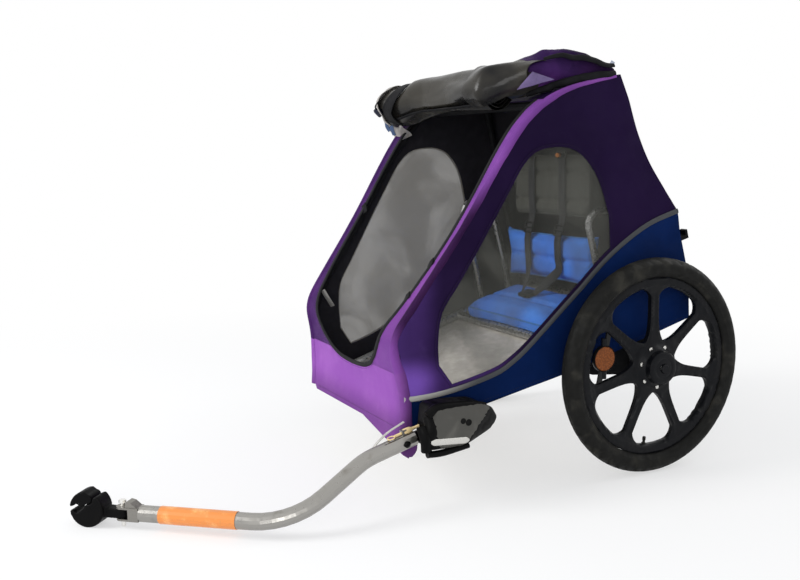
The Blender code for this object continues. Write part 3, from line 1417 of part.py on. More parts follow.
def wheel(prefix, sign):
    frame = empty(prefix + "_wheel_axis", root, (sign * TRACK_HALF, 0, WHEEL_RADIUS))
    moulded_wheel(prefix + "_wheel", sign, frame)

    # tyre, open at the bead where it sits on the rim
    centre = WHEEL_RADIUS - TYRE_SECTION
    half = math.acos((centre - BEAD_RADIUS) / TYRE_SECTION)
    n = 9
    profile = [(TYRE_SECTION * sin(a), centre - TYRE_SECTION * cos(a))
               for a in (half + (2 * pi - 2 * half) * i / n for i in range(n + 1))]
    profile[n // 2] = (profile[n // 2][0], WHEEL_RADIUS)
    profile[n // 2 + 1] = (profile[n // 2 + 1][0], WHEEL_RADIUS)
    finish(prefix + "_tyre", turned(profile, WHEEL_SIDES, start=pi / 2), (0.02, 0.02, 0.02), 0.8, 0.0,
           frame)

    # bearing sleeve in the hub and the axle pin through it
    inner, outer = PIN_RADIUS + GAP, PIN_RADIUS + GAP + BEARING_WALL
    low, high = sorted((-sign * HUB_HALF_LENGTH, sign * HUB_HALF_LENGTH))
    sleeve = [(low, inner), (low, outer), (high, outer), (high, inner)]
    finish(prefix + "_hub_bearing", turned(sleeve, 16), (0.6, 0.6, 0.58), 0.3, 1.0, frame)

    pin_in = sign * (PIN_INNER - TRACK_HALF)
    pin_out = sign * (HUB_HALF_LENGTH + CAP_HEIGHT - BUTTON_STROKE - 0.002)
    pin_low, pin_high = sorted((pin_in, pin_out))
    finish(prefix + "_axle_pin", rod(PIN_RADIUS, pin_low, pin_high, 14, "X", 0.001),
           (0.75, 0.75, 0.73), 0.25, 1.0, frame)

    start = HUB_HALF_LENGTH + CAP_HEIGHT - 0.0015
    a, b = sorted((sign * start, sign * (start + BUTTON_PROUD)))
    finish(prefix + "_release_button", rod(BUTTON_RADIUS, a, b, 14, "X", 0.001), (0.05, 0.05, 0.05),
           0.4, 0.0, frame)

    reflector(prefix, frame)


def reflector(prefix, frame):
    """Round reflector on a bar that clips between two spokes."""
    spread = pi / SPOKES
    mid = pi / 2 + 1.5 * 2 * spread
    clear = SPOKE_HALF_WIDTH * 1.12 + GAP
    bar_outline = []
    for r, side in ((-0.006, -1), (0.006, -1), (0.006, 1), (-0.006, 1)):
        r += REFLECTOR_AT
        u = side * (r * sin(spread) - clear) / cos(spread)
        bar_outline.append((r * cos(mid) - u * sin(mid), r * sin(mid) + u * cos(mid)))
    obj = finish(prefix + "_reflector", prism(bar_outline, -0.0025, 0.0025, along_x),
                 (0.70, 0.20, 0.03), 0.25, 0.0, frame)
    disc = moved(rod(REFLECTOR_RADIUS, -0.005, 0.005, 16, "X", 0.0015),
                 (0, REFLECTOR_AT * cos(mid), REFLECTOR_AT * sin(mid)))
    boolean(obj, disc, "UNION")


both_sides(wheel)


# The finished trailer stands over the origin: middle of its box in plan, wheels on the ground

def stand():
    bpy.context.view_layer.update()
    corners = [obj.matrix_world @ v.co for obj in COLLECTION.objects if obj.type == "MESH"
               for v in obj.data.vertices]
    ys = [p.y for p in corners]
    root.location = (0, -(min(ys) + max(ys)) / 2, 0)
    bpy.context.view_layer.update()


stand()
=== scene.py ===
"""Looks of a child's bicycle trailer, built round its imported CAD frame.

Cloth pieces are drawn in the trailer's level frame (x left, y rear, z up, origin at the axle) and
then laid nose down as the frame stands.
"""
import math
from math import cos, pi, radians, sin

import bmesh
import bpy
import numpy as np
from mathutils import Matrix, Vector, noise
from mathutils.bvhtree import BVHTree
from mathutils.geometry import delaunay_2d_cdt


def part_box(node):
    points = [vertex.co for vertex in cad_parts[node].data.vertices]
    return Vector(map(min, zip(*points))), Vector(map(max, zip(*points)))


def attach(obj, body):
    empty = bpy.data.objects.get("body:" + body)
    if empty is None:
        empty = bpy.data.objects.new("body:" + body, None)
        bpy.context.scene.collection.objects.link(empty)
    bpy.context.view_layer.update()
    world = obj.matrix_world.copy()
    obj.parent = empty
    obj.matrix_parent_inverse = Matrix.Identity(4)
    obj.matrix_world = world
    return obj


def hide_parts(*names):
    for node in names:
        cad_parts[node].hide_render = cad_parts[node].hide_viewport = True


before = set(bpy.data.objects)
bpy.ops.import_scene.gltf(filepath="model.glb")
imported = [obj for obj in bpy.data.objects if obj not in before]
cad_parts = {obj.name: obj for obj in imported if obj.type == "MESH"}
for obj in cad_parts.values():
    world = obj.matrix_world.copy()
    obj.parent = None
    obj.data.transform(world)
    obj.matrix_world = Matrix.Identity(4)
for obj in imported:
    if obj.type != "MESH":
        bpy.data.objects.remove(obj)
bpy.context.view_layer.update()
scene = bpy.context.scene
SIDES = (("left", 1), ("right", -1))

# The level frame and the body's lines, as in the CAD source
HITCH = Vector((0.111, -1.176, 0.0895))
HITCH_HEIGHT = 0.032
WHEEL_R = 0.250
TILT = pi - math.asin((HITCH_HEIGHT - WHEEL_R) / math.hypot(HITCH.y, HITCH.z)) - math.atan2(HITCH.z, HITCH.y)
AXLE_Y = (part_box("left_tyre")[0].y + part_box("left_tyre")[1].y) / 2
LEVEL = Matrix.Translation((0, AXLE_Y, WHEEL_R)) @ Matrix.Rotation(TILT, 4, "X")
FRONT_LINE = ((-0.600, 0.050), (-0.582, 0.105), (-0.570, 0.170), (-0.564, 0.235), (-0.545, 0.278),
              (-0.475, 0.338), (-0.350, 0.441), (-0.205, 0.574), (-0.139, 0.622), (-0.078, 0.648),
              (0.000, 0.658), (0.128, 0.650))
REAR_LINE = ((0.128, 0.650), (0.136, 0.588), (0.136, 0.520), (0.146, 0.440), (0.174, 0.355),
             (0.192, 0.305), (0.188, 0.262), (0.187, 0.150), (0.168, 0.050))
PIPING_LINE = ((-0.555, 0.121), (-0.520, 0.113), (-0.475, 0.107), (-0.430, 0.105), (-0.390, 0.106),
               (-0.350, 0.110), (-0.297, 0.130), (-0.238, 0.163), (-0.176, 0.198), (-0.112, 0.230),
               (-0.047, 0.262), (0.017, 0.286), (0.081, 0.303), (0.128, 0.309))
WINDOW_TOP = ((0.002, 0.359), (0.000, 0.442), (-0.016, 0.493), (-0.040, 0.525), (-0.073, 0.542),
              (-0.110, 0.550), (-0.145, 0.549), (-0.184, 0.529), (-0.237, 0.480), (-0.290, 0.430),
              (-0.342, 0.380), (-0.394, 0.331), (-0.446, 0.282), (-0.470, 0.224), (-0.482, 0.170))
OPENING = ((0.180, 0.108), (0.205, 0.140), (0.240, 0.170), (0.275, 0.195), (0.300, 0.213),
           (0.338, 0.228), (0.376, 0.238), (0.430, 0.245), (0.500, 0.250), (0.600, 0.250),
           (0.648, 0.248))
OPENING_BOTTOM = ((0.108, 0.180), (0.075, 0.169), (0.040, 0.1645), (0.000, 0.163))
BODY_BOTTOM, CORNER_CUT, FLAP_DROP, FLAP_FLARE = 0.050, 0.028, 0.040, 0.026
PIPING_FRONT_Z, PIPING_REAR_Z, SPLIT_Z, ROOF_FRONT_Y = 0.128, 0.310, 0.180, -0.078
FRONT_WIDTH, FULL_WIDTH = 0.262, 0.320
ROOF_DRAW_IN, NOSE_DRAW_IN = 0.030, 0.022
WINDOW_FRONT_Y, WINDOW_REAR_Y, WINDOW_LIFT = -0.474, -0.008, 0.011
CLOTH = 0.0024
UP, OUT = Vector((0, 0, 1)), Vector((1, 0, 0))


def smooth_line(points, step=0.03):
    """A smooth curve through the points, in steps of about that length."""
    pts = [Vector(p) for p in points]
    pts = [2 * pts[0] - pts[1]] + pts + [2 * pts[-1] - pts[-2]]
    out = []
    for a, b, c, d in zip(pts, pts[1:], pts[2:], pts[3:]):
        n = max(1, round((c - b).length / step))
        for i in range(n):
            t = i / n
            out.append(0.5 * ((2 * b) + (c - a) * t + (2 * a - 5 * b + 4 * c - d) * t * t
                              + (3 * b - a - 3 * c + d) * t ** 3))
    out.append(pts[-2])
    return out


def vectors(*places):
    """The places as vectors of their own."""
    return [Vector(p) for p in places]


def smoothstep(t):
    """0 below 0, 1 above 1, and a smooth rise between them."""
    t = min(1.0, max(0.0, t))
    return t * t * (3 - 2 * t)


def half_width(y, z):
    """Half width of the fabric body, outside."""
    w = FRONT_WIDTH + (FULL_WIDTH - FRONT_WIDTH) * smoothstep((y + 0.56) / 0.44)
    w -= ROOF_DRAW_IN * smoothstep((z - 0.30) / 0.36)
    return w - NOSE_DRAW_IN * math.exp(-((y + 0.56) / 0.06) ** 2 - ((z - 0.215) / 0.06) ** 2)


class Line:
    """A line in the y-z plane, read by its length."""

    def __init__(self, points, step=0.012):
        self.pts = smooth_line(smooth_line(points), step)
        self.at = [0.0]
        for a, b in zip(self.pts, self.pts[1:]):
            self.at.append(self.at[-1] + (b - a).length)
        self.length = self.at[-1]

    def where(self, test):
        values = [test(p) for p in self.pts]
        for i, (a, b) in enumerate(zip(values, values[1:])):
            if a == 0 or a * b < 0:
                return self.at[i] + (self.at[i + 1] - self.at[i]) * (a / (a - b) if a else 0)
        return self.length

    def point(self, s, inward=0.0):
        i = min(len(self.at) - 2, max(0, int(np.searchsorted(self.at, s)) - 1))
        a, b = self.pts[i], self.pts[i + 1]
        k = (s - self.at[i]) / (self.at[i + 1] - self.at[i])
        p = a + (b - a) * k
        if inward:
            before = self.pts[max(i - 1, 0)]
            after = self.pts[min(i + 2, len(self.pts) - 1)]
            along = (b - before).normalized().lerp((after - a).normalized(), min(1, max(0, k)))
            side = Vector((-along.y, along.x)).normalized()
            if side.dot(Vector((-0.15, 0.30)) - p) < 0:
                side.negate()
            p = p + side * inward
        return p

    def span(self, s0, s1):
        mid = [p for s, p in zip(self.at, self.pts) if s0 + 0.004 < s < s1 - 0.004]
        return [self.point(s0)] + mid + [self.point(s1)]


FRONT, REAR = Line(FRONT_LINE), Line(REAR_LINE)
S_PIPING = FRONT.where(lambda p: p.y - PIPING_FRONT_Z)
S_SPLIT = FRONT.where(lambda p: p.y - SPLIT_Z)
S_ROOF = FRONT.where(lambda p: p.x - ROOF_FRONT_Y)
S_REAR_PIPING = REAR.where(lambda p: p.y - PIPING_REAR_Z)
PIPING = Line((tuple(FRONT.point(S_PIPING)),) + PIPING_LINE + (tuple(REAR.point(S_REAR_PIPING)),))


# Camera, floor and light

FOCAL_PIXELS, PHOTO_WIDTH, SENSOR_WIDTH = 976.2, 800, 36
CAMERA_TURNS = (63.29, 8.31, -1.006)
CAMERA_PLACE = Vector((2.0675, -1.5041 + AXLE_Y, 0.7567))


def make_camera():
    """The camera that was fitted to the reference view."""
    azimuth, elevation, roll = (radians(turn) for turn in CAMERA_TURNS)
    back = Vector((sin(azimuth) * cos(elevation), -cos(azimuth) * cos(elevation), sin(elevation)))
    level_right = Vector((cos(azimuth), sin(azimuth), 0))
    level_up = back.cross(level_right)
    right = cos(roll) * level_right + sin(roll) * level_up
    up = cos(roll) * level_up - sin(roll) * level_right
    data = bpy.data.cameras.new("camera")
    data.sensor_width = SENSOR_WIDTH
    data.lens = FOCAL_PIXELS * SENSOR_WIDTH / PHOTO_WIDTH
    camera = bpy.data.objects.new("camera", data)
    scene.collection.objects.link(camera)
    camera.matrix_world = Matrix([*zip(right, up, back, CAMERA_PLACE), (0, 0, 0, 1)])
    scene.camera = camera


def lamp(name, place, size, power, aim=(0, 0, 0.4)):
    """A round area lamp turned towards the aim."""
    data = bpy.data.lights.new(name, "AREA")
    data.shape, data.size, data.energy = "DISK", size, power
    light = bpy.data.objects.new(name, data)
    scene.collection.objects.link(light)
    light.location = place
    light.rotation_euler = (Vector(place) - Vector(aim)).to_track_quat("Z", "Y").to_euler()


def seen_ray(tree):
    """1 for rays that show the background itself: camera, glossy and transmission rays."""
    path = tree.nodes.new("ShaderNodeLightPath")
    total = path.outputs["Is Camera Ray"]
    for name in ("Is Glossy Ray", "Is Transmission Ray"):
        most = tree.nodes.new("ShaderNodeMath")
        most.operation = "MAXIMUM"
        tree.links.new(total, most.inputs[0])
        tree.links.new(path.outputs[name], most.inputs[1])
        total = most.outputs[0]
    return total


def make_stage():
    """White floor and background, soft ambient light and three lamps."""
    scene.view_settings.view_transform = "Standard"
    world = bpy.data.worlds.new("studio")
    scene.world = world
    world.use_nodes = True
    tree = world.node_tree
    ambient = tree.nodes["Background"]
    ambient.inputs["Color"].default_value = (0.95, 0.97, 1.0, 1)
    ambient.inputs["Strength"].default_value = 0.62
    white = tree.nodes.new("ShaderNodeBackground")
    white.inputs["Color"].default_value = (1, 1, 1, 1)
    white.inputs["Strength"].default_value = 1.0
    mix = tree.nodes.new("ShaderNodeMixShader")
    tree.links.new(seen_ray(tree), mix.inputs[0])
    tree.links.new(ambient.outputs[0], mix.inputs[1])
    tree.links.new(white.outputs[0], mix.inputs[2])
    tree.links.new(mix.outputs[0], tree.nodes["World Output"].inputs[0])
    bm = bmesh.new()
    bmesh.ops.create_circle(bm, cap_ends=True, segments=96, radius=14.0)
    floor = mesh_object("floor", bm)
    paper = Shader("floor_paper", (0.95, 0.95, 0.95), 0.9, specular_ior_level=0.0)
    glow = paper.node("Emission", {"Color": (1, 1, 1, 1), "Strength": 1.0})
    far = paper.node("VectorMath", {0: paper.place}, operation="LENGTH").outputs["Value"]
    lit = paper.math("MULTIPLY", paper.ramp(far, 0.9, 2.6, 0.55, 1.0), seen_ray(paper.tree))
    both = paper.node("MixShader", {0: lit, 1: paper.bsdf.outputs[0], 2: glow.outputs[0]})
    paper.tree.links.new(both.outputs[0], paper.tree.nodes["Material Output"].inputs[0])
    floor.data.materials.append(paper.mat)
    lamp("key", (-1.0, -4.0, 2.7), 2.2, 140)
    lamp("fill", (3.8, -2.4, 1.6), 2.4, 52)
    lamp("back", (0.5, 3.6, 2.8), 2.6, 30)


# Materials

class Shader:
    """A Principled material with small helpers for its nodes."""

    def __init__(self, name, colour, rough, **sockets):
        self.mat = bpy.data.materials.new(name)
        self.mat.use_nodes = True
        self.tree = self.mat.node_tree
        self.bsdf = self.tree.nodes["Principled BSDF"]
        self.bsdf.inputs["Base Color"].default_value = (*colour, 1)
        self.bsdf.inputs["Roughness"].default_value = rough
        for key, value in sockets.items():
            self.bsdf.inputs[key.replace("_", " ").title().replace("Ior", "IOR")].default_value = value
        coords = self.tree.nodes.new("ShaderNodeTexCoord")
        self.place, self.uv = coords.outputs["Object"], coords.outputs["UV"]
        self.height = None

    def node(self, kind, inputs=None, **props):
        made = self.tree.nodes.new("ShaderNode" + kind)
        for key, value in props.items():
            setattr(made, key, value)
        for key, value in (inputs or {}).items():
            if isinstance(value, bpy.types.NodeSocket):
                self.tree.links.new(value, made.inputs[key])
            else:
                made.inputs[key].default_value = value
        return made

    def noise(self, scale, detail=3.0, distortion=0.0, stretch=None):
        at = self.place
        if stretch:
            at = self.node("Mapping", {"Vector": at, "Scale": stretch}).outputs[0]
        return self.node("TexNoise", {"Vector": at, "Scale": scale, "Detail": detail,
                                      "Distortion": distortion}).outputs[0]

    def ramp(self, value, low, high, to_low=0.0, to_high=1.0):
        return self.node("MapRange", {0: value, 1: low, 2: high, 3: to_low, 4: to_high},
                         interpolation_type="SMOOTHSTEP").outputs[0]

    def math(self, operation, a, b=0.0):
        return self.node("Math", {0: a, 1: b}, operation=operation).outputs[0]

    def mix(self, factor, a, b):
        a, b = [(*c, 1) if isinstance(c, tuple) and len(c) == 3 else c for c in (a, b)]
        return self.node("Mix", {0: factor, 6: a, 7: b}, data_type="RGBA").outputs[2]

    def colour(self, socket):
        self.tree.links.new(socket, self.bsdf.inputs["Base Color"])
        return self

    def rough(self, socket):
        self.tree.links.new(socket, self.bsdf.inputs["Roughness"])
        return self

    def alpha(self, socket):
        self.tree.links.new(socket, self.bsdf.inputs["Alpha"])
        return self

    def bump(self, height, distance, strength=1.0):
        """Adds a height field; each call stacks on the last."""
        made = self.node("Bump", {"Height": height, "Distance": distance, "Strength": strength})
        if self.height:
            self.tree.links.new(self.height, made.inputs["Normal"])
        self.height = made.outputs[0]
        self.tree.links.new(self.height, self.bsdf.inputs["Normal"])
        return self

    def weave(self, pitch, distance):
        """Crossed threads a pitch apart, along the piece's own cloth directions."""
        split = self.node("SeparateXYZ", {0: self.uv})
        phases = [self.math("MULTIPLY", along, 2 * pi / pitch) for along in split.outputs[:2]]
        threads = [self.math("SINE", phase) for phase in phases]
        return self.bump(self.math("MULTIPLY", *threads), distance)

    def shade(self, tones, axis=2):
        """Paints shade or light into the colour along an axis: rows of (place, factor), lowest first."""
        place = self.node("SeparateXYZ", {0: self.place}).outputs[axis]
        # A factor below 1 is painted shade, a factor above 1 painted light.
        factor = 1.0
        for (p0, f0), (p1, f1) in zip(tones, tones[1:]):
            first = isinstance(factor, float)
            part = self.ramp(place, p0, p1, f0 if first else 1.0, f1 if first else f1 / f0)
            factor = part if first else self.math("MULTIPLY", factor, part)
        base = self.bsdf.inputs["Base Color"].links[0].from_socket
        made = self.node("VectorMath", {0: base}, operation="SCALE")
        self.tree.links.new(factor, made.inputs["Scale"])
        return self.colour(made.outputs[0])


def simple(name, colour, rough, specular=0.1):
    """A plain dyed surface, a little worn and uneven."""
    s = Shader(name, colour, rough, specular_ior_level=specular)
    s.colour(s.mix(s.ramp(s.noise(45.0, 5.0), 0.40, 0.75, 0.0, 0.6), colour,
                   tuple(min(1.0, 1.35 * c + 0.003) for c in colour)))
    s.rough(s.ramp(s.noise(30.0), 0.3, 0.7, rough - 0.05, rough + 0.08))
    return s.bump(s.noise(120.0, 3.0), 0.0002, 0.4).mat


def nylon(name, colour, deep, rough=0.55, wear=0.25, shades=()):
    """Coated nylon: fine weave, soft creases, faded patches and patches of dust, and painted light and shade
    along axes.
    """
    s = Shader(name, colour, rough, specular_ior_level=0.025)
    fade = s.ramp(s.noise(5.5, 4.0), 0.35, 0.7)
    dust = s.ramp(s.noise(38.0, 6.0), 0.55, 0.80, 0.0, wear)
    tone = s.mix(fade, deep, colour)
    s.colour(s.mix(dust, tone, tuple(min(1.0, 1.2 * c + 0.004) for c in colour)))
    s.rough(s.ramp(s.noise(24.0), 0.3, 0.7, rough - 0.08, rough + 0.12))
    s.bump(s.noise(26.0, 5.0, distortion=0.6), 0.0012, 0.5)
    # Painted light and shade along the axes, laid over the cloth's colour
    for axis, tones in shades:
        s.shade(tones, axis)
    return s.weave(0.0016, 0.00012).mat


def metal(name, colour, rough, scratch=0.35, dirt=(0.12, 0.10, 0.08)):
    """Bare metal with finely varied gloss and patches of dirt."""
    s = Shader(name, colour, rough, metallic=1.0)
    lines = s.noise(140.0, 4.0)
    s.rough(s.ramp(lines, 0.3, 0.7, rough * (1 - scratch), rough * (1 + scratch)))
    s.colour(s.mix(s.ramp(s.noise(30.0, 6.0), 0.58, 0.78, 0.0, 0.6), colour, dirt))
    return s.bump(lines, 0.00012, 0.4).mat


def plastic(name, colour, rough, dust=(0.30, 0.28, 0.25), amount=0.25, grain=900.0, gloss=0.16):
    """Moulded plastic or rubber with a fine grain and dust in patches."""
    s = Shader(name, colour, rough, specular_ior_level=gloss)
    worn = s.ramp(s.noise(22.0, 8.0, distortion=0.4), 0.5, 0.8, 0.0, amount)
    s.colour(s.mix(worn, colour, dust))
    s.rough(s.ramp(s.noise(60.0, 4.0), 0.35, 0.7, rough - 0.1, rough + 0.12))
    s.bump(s.noise(grain, 2.0), 0.00015, 0.5)
    return s.bump(s.noise(45.0, 3.0), 0.0005, 0.25).mat


def webbing(name, colour):
    """Coarsely woven strap, paler where it is worn."""
    s = Shader(name, colour, 0.7, specular_ior_level=0.12)
    s.colour(s.mix(s.ramp(s.noise(30.0, 4.0), 0.4, 0.75, 0.0, 0.5), colour,
                   tuple(c * 1.6 + 0.02 for c in colour)))
    return s.weave(0.0022, 0.0005).mat


def film(name, colour, low, high, rough=0.12, scale=7.0, gloss=0.35):
    """Clear or smoky vinyl, cloudier in patches, with a slow ripple."""
    s = Shader(name, colour, rough, specular_ior_level=gloss)
    cloud = s.noise(scale, 3.0, distortion=0.8)
    s.alpha(s.ramp(cloud, 0.32, 0.68, low, high))
    s.rough(s.ramp(s.noise(scale * 3), 0.3, 0.7, rough * 0.6, rough * 1.8))
    s.bump(s.noise(scale * 1.3, 2.0, distortion=0.5), 0.012, 0.35)
    return s.mat


def smoky_vinyl():
    """Smoke-grey vinyl of the rolled cover, darker and paler in noise bands that run along it."""
    s = Shader("roll_vinyl", (0.03, 0.03, 0.03), 0.32, specular_ior_level=0.22)
    bands = s.noise(3.2, 3.0, distortion=1.6, stretch=(0.35, 1.0, 1.0))
    s.colour(s.mix(s.ramp(bands, 0.40, 0.62), (0.0036, 0.0038, 0.0048), (0.034, 0.031, 0.025)))
    s.rough(s.ramp(s.noise(14.0, 4.0), 0.3, 0.7, 0.16, 0.34))
    s.bump(s.noise(9.0, 3.0, distortion=1.0, stretch=(0.5, 1.0, 1.0)), 0.010, 0.5)
    return s.bump(s.noise(70.0, 3.0), 0.0006, 0.3).mat


def band_sheeting():
    """Orange reflective sheeting with small cells and worn patches."""
    s = Shader("orange_sheeting", (0.80, 0.33, 0.09), 0.32, specular_ior_level=0.55)
    cells = s.node("TexVoronoi", {"Vector": s.place, "Scale": 230.0}, feature="DISTANCE_TO_EDGE").outputs[0]
    tone = s.mix(s.ramp(s.noise(34.0, 4.0), 0.50, 0.66), (0.80, 0.265, 0.055), (0.90, 0.42, 0.14))
    s.colour(s.mix(s.ramp(cells, 0.02, 0.06), (0.70, 0.26, 0.06), tone))
    return s.bump(s.noise(30.0), 0.0006, 0.4).mat


# Mesh making

def mesh_object(name, bm, crease=40):
    """An object of the mesh, smooth but for edges sharper than the crease angle."""
    mesh = bpy.data.meshes.new(name)
    bmesh.ops.recalc_face_normals(bm, faces=bm.faces)
    bm.to_mesh(mesh)
    bm.free()
    made = bpy.data.objects.new(name, mesh)
    scene.collection.objects.link(made)
    mesh.shade_smooth()
    mesh.set_sharp_from_angle(angle=radians(crease))
    return made


def piece(name, bm, mats, body="chassis", level=True, nodes=(), slot=None, crease=40):
    """Finishes a piece: material, place in the level frame, the body it rides and what it replaces."""
    made = mesh_object(name, bm, crease=crease)
    for mat in mats if isinstance(mats, (list, tuple)) else [mats]:
        made.data.materials.append(mat)
    if level:
        made.data.transform(LEVEL)
    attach(made, body)
    if nodes:
        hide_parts(*nodes)
    return made


def resample(loop, step):
    """The loop with points added so that none of its edges is longer than a step."""
    out = []
    for a, b in zip(loop, loop[1:] + loop[:1]):
        a, b = Vector(a[:2]), Vector(b[:2])
        n = max(1, math.ceil((b - a).length / step))
        out += [a.lerp(b, i / n) for i in range(n)]
    return out


def to_loops(points, loops):
    """Distance of each point from the nearest loop, and the length run along that loop there."""
    points = np.array([p[:2] for p in points])
    best, run = np.full(len(points), 1e9), np.zeros(len(points))
    for loop in loops:
        pts = np.array([p[:2] for p in loop])
        a, d = pts, np.roll(pts, -1, axis=0) - pts
        long = np.maximum(np.hypot(d[:, 0], d[:, 1]), 1e-9)
        start = np.concatenate([[0], np.cumsum(long)[:-1]])
        rel = points[:, None, :] - a[None]
        k = np.clip((rel * d[None]).sum(2) / long[None] ** 2, 0, 1)
        gap = np.linalg.norm(rel - k[..., None] * d[None], axis=2)
        i = gap.argmin(1)
        near = gap[np.arange(len(points)), i]
        closer = near < best
        best[closer] = near[closer]
        run[closer] = (start[i] + k[np.arange(len(points)), i] * long[i])[closer]
    return best, run


def within(p, loops):
    """Whether a point lies inside the outline and outside its holes."""
    hit = False
    for loop in loops:
        for a, b in zip(loop, loop[1:] + loop[:1]):
            if (a[1] > p[1]) != (b[1] > p[1]):
                if p[0] < a[0] + (b[0] - a[0]) * (p[1] - a[1]) / (b[1] - a[1]):
                    hit = not hit
    return hit


def cloth_mesh(loops, put, relief, thick=CLOTH, grid=0.014, pucker=0.0008):
    """Closed cloth with an outer and a lining face, laid by put(u, v, inward).

    relief(u, v) raises its folds, and its seams draw it into small puckers.
    """
    flat, tris, gap, run = fill_loops(loops, grid)
    top, bottom = [], []
    for p, d, r in zip(flat, gap, run):
        free = min(1.0, d / 0.03)
        rise = relief(p.x, p.y) * free
        rise += pucker * sin(2 * pi * r / 0.026) * math.exp(-d / 0.016) * min(1, d / 0.004)
        top.append(put(p.x, p.y, -rise))
        bottom.append(put(p.x, p.y, thick - rise))
    return two_faces(flat, tris, top, bottom)


def fill_loops(loops, grid, fine=None):
    """Points, triangles, distance from the loops and run along them for a flat outline with holes."""
    loops = [resample(loop, fine or grid) for loop in loops]
    verts, edges = [], []
    for loop in loops:
        first = len(verts)
        verts += loop
        edges += [(first + i, first + (i + 1) % len(loop)) for i in range(len(loop))]
    us, vs = [p[0] for p in loops[0]], [p[1] for p in loops[0]]
    grid_points = [Vector((min(us) + (i - 0.5 * (j % 2)) * grid, min(vs) + j * grid * 0.87))
                   for i in range(1, int((max(us) - min(us)) / grid) + 1)
                   for j in range(1, int((max(vs) - min(vs)) / (grid * 0.87)) + 1)]
    near, _ = to_loops(grid_points, loops)
    verts += [p for p, d in zip(grid_points, near) if d > (fine or grid) * 0.5 and within(p, loops)]
    flat, _, tris, *_ = delaunay_2d_cdt(verts, edges, [], 0, 1e-7)
    tris = [t for t in tris if within(sum((flat[i] for i in t), Vector((0, 0))) / 3, loops)]
    gap, run = to_loops(flat, loops)
    return flat, tris, gap, run


def lay_uv(face, layer, places):
    """Gives the face's corners their places on the flat material."""
    for corner, place in zip(face.loops, places):
        corner[layer].uv = place


def two_faces(flat, tris, top, bottom):
    """Closed mesh from one triangulation and the places of its two faces."""
    bm = bmesh.new()
    layer = bm.loops.layers.uv.new("UVMap")
    top, bottom = [bm.verts.new(p) for p in top], [bm.verts.new(p) for p in bottom]
    count = set()
    for t in tris:
        for side, order in ((top, t), (bottom, tuple(reversed(t)))):
            face = bm.faces.new([side[i] for i in order])
            face.material_index = int(side is bottom)
            lay_uv(face, layer, [flat[i] for i in order])
        count |= {(a, b) for a, b in zip(t, t[1:] + t[:1])}
    for a, b in count:
        if (b, a) not in count:
            bm.faces.new([top[b], top[a], bottom[a], bottom[b]])
    for v in [v for v in bm.verts if not v.link_faces]:
        bm.verts.remove(v)
    return bm


def sweep_mesh(points, section, ups, closed=False, bm=None, scales=None):
    """Carries a section of (across, up) pairs along a path; ups gives its up at each point."""
    bm = bm or bmesh.new()
    layer = bm.loops.layers.uv.get("UVMap") or bm.loops.layers.uv.new("UVMap")
    points = [Vector(p) for p in points]
    n, m = len(points), len(section)
    if isinstance(ups, Vector):
        ups = [ups] * n
    rings, run, length = [], [0.0], 0.0
    for i, p in enumerate(points):
        before = points[i - 1] if i or closed else p
        after = points[(i + 1) % n] if i < n - 1 or closed else p
        along = (after - before).normalized()
        across = along.cross(ups[i]).normalized()
        up = across.cross(along).normalized()
        k = scales[i] if scales else 1.0
        rings.append([bm.verts.new(p + across * u * k + up * v * k) for u, v in section])
        length += (points[(i + 1) % n] - p).length
        run.append(length)
    around = [0.0]
    for a, b in zip(section, section[1:] + section[:1]):
        around.append(around[-1] + math.hypot(b[0] - a[0], b[1] - a[1]))
    for i in range(n if closed else n - 1):
        a, b = rings[i], rings[(i + 1) % n]
        for k in range(m):
            face = bm.faces.new((a[k], a[(k + 1) % m], b[(k + 1) % m], b[k]))
            lay_uv(face, layer, ((run[i], around[k]), (run[i], around[k + 1]),
                                 (run[i + 1], around[k + 1]), (run[i + 1], around[k])))
    if not closed:
        bm.faces.new(rings[0])
        bm.faces.new(rings[-1])
    return bm


def turns(n):
    """Angles of n equal steps round a full turn."""
    return [2 * pi * i / n for i in range(n)]


def oval(width, height, n=10):
    """Oval section of n points."""
    return [(cos(a) * width / 2, sin(a) * height / 2) for a in turns(n)]


def tape(width, thick):
    """Flat section of a strap, its upper edges broken."""
    w, t = width / 2, thick / 2
    return [(-w, -t), (w, -t), (w, t * 0.6), (w * 0.9, t), (-w * 0.9, t), (-w, t * 0.6)]


def circle(r, n):
    """Round of n points about the origin."""
    return [Vector((r * cos(a), r * sin(a))) for a in turns(n)]


def square_ring(n, power):
    """Points round a square of half size 1 with rounded corners; a lower power is squarer."""
    return [[math.copysign(abs(t) ** power, t) for t in (cos(a), sin(a))] for a in turns(n)]


LOFT_GRID = 0.008


def loft(rings, ends=True):
    """Skin over rings of as many points each, closed at its ends unless told otherwise."""
    bm = bmesh.new()
    layer = bm.loops.layers.uv.new("UVMap")
    made = [[bm.verts.new(p) for p in ring] for ring in rings]
    m = len(rings[0])
    for i, (a, b) in enumerate(zip(made, made[1:])):
        for k in range(m):
            q = (k + 1) % m
            face = bm.faces.new((a[k], a[q], b[q], b[k]))
            square = (i, k), (i, k + 1), (i + 1, k + 1), (i + 1, k)
            lay_uv(face, layer, [(u * LOFT_GRID, v * LOFT_GRID) for u, v in square])
    if ends:
        for ring in (made[0], made[-1]):
            for k in range(m // 2 - 1):
                bm.faces.new((ring[k], ring[k + 1], ring[m - 2 - k], ring[m - 1 - k]))
    return bm


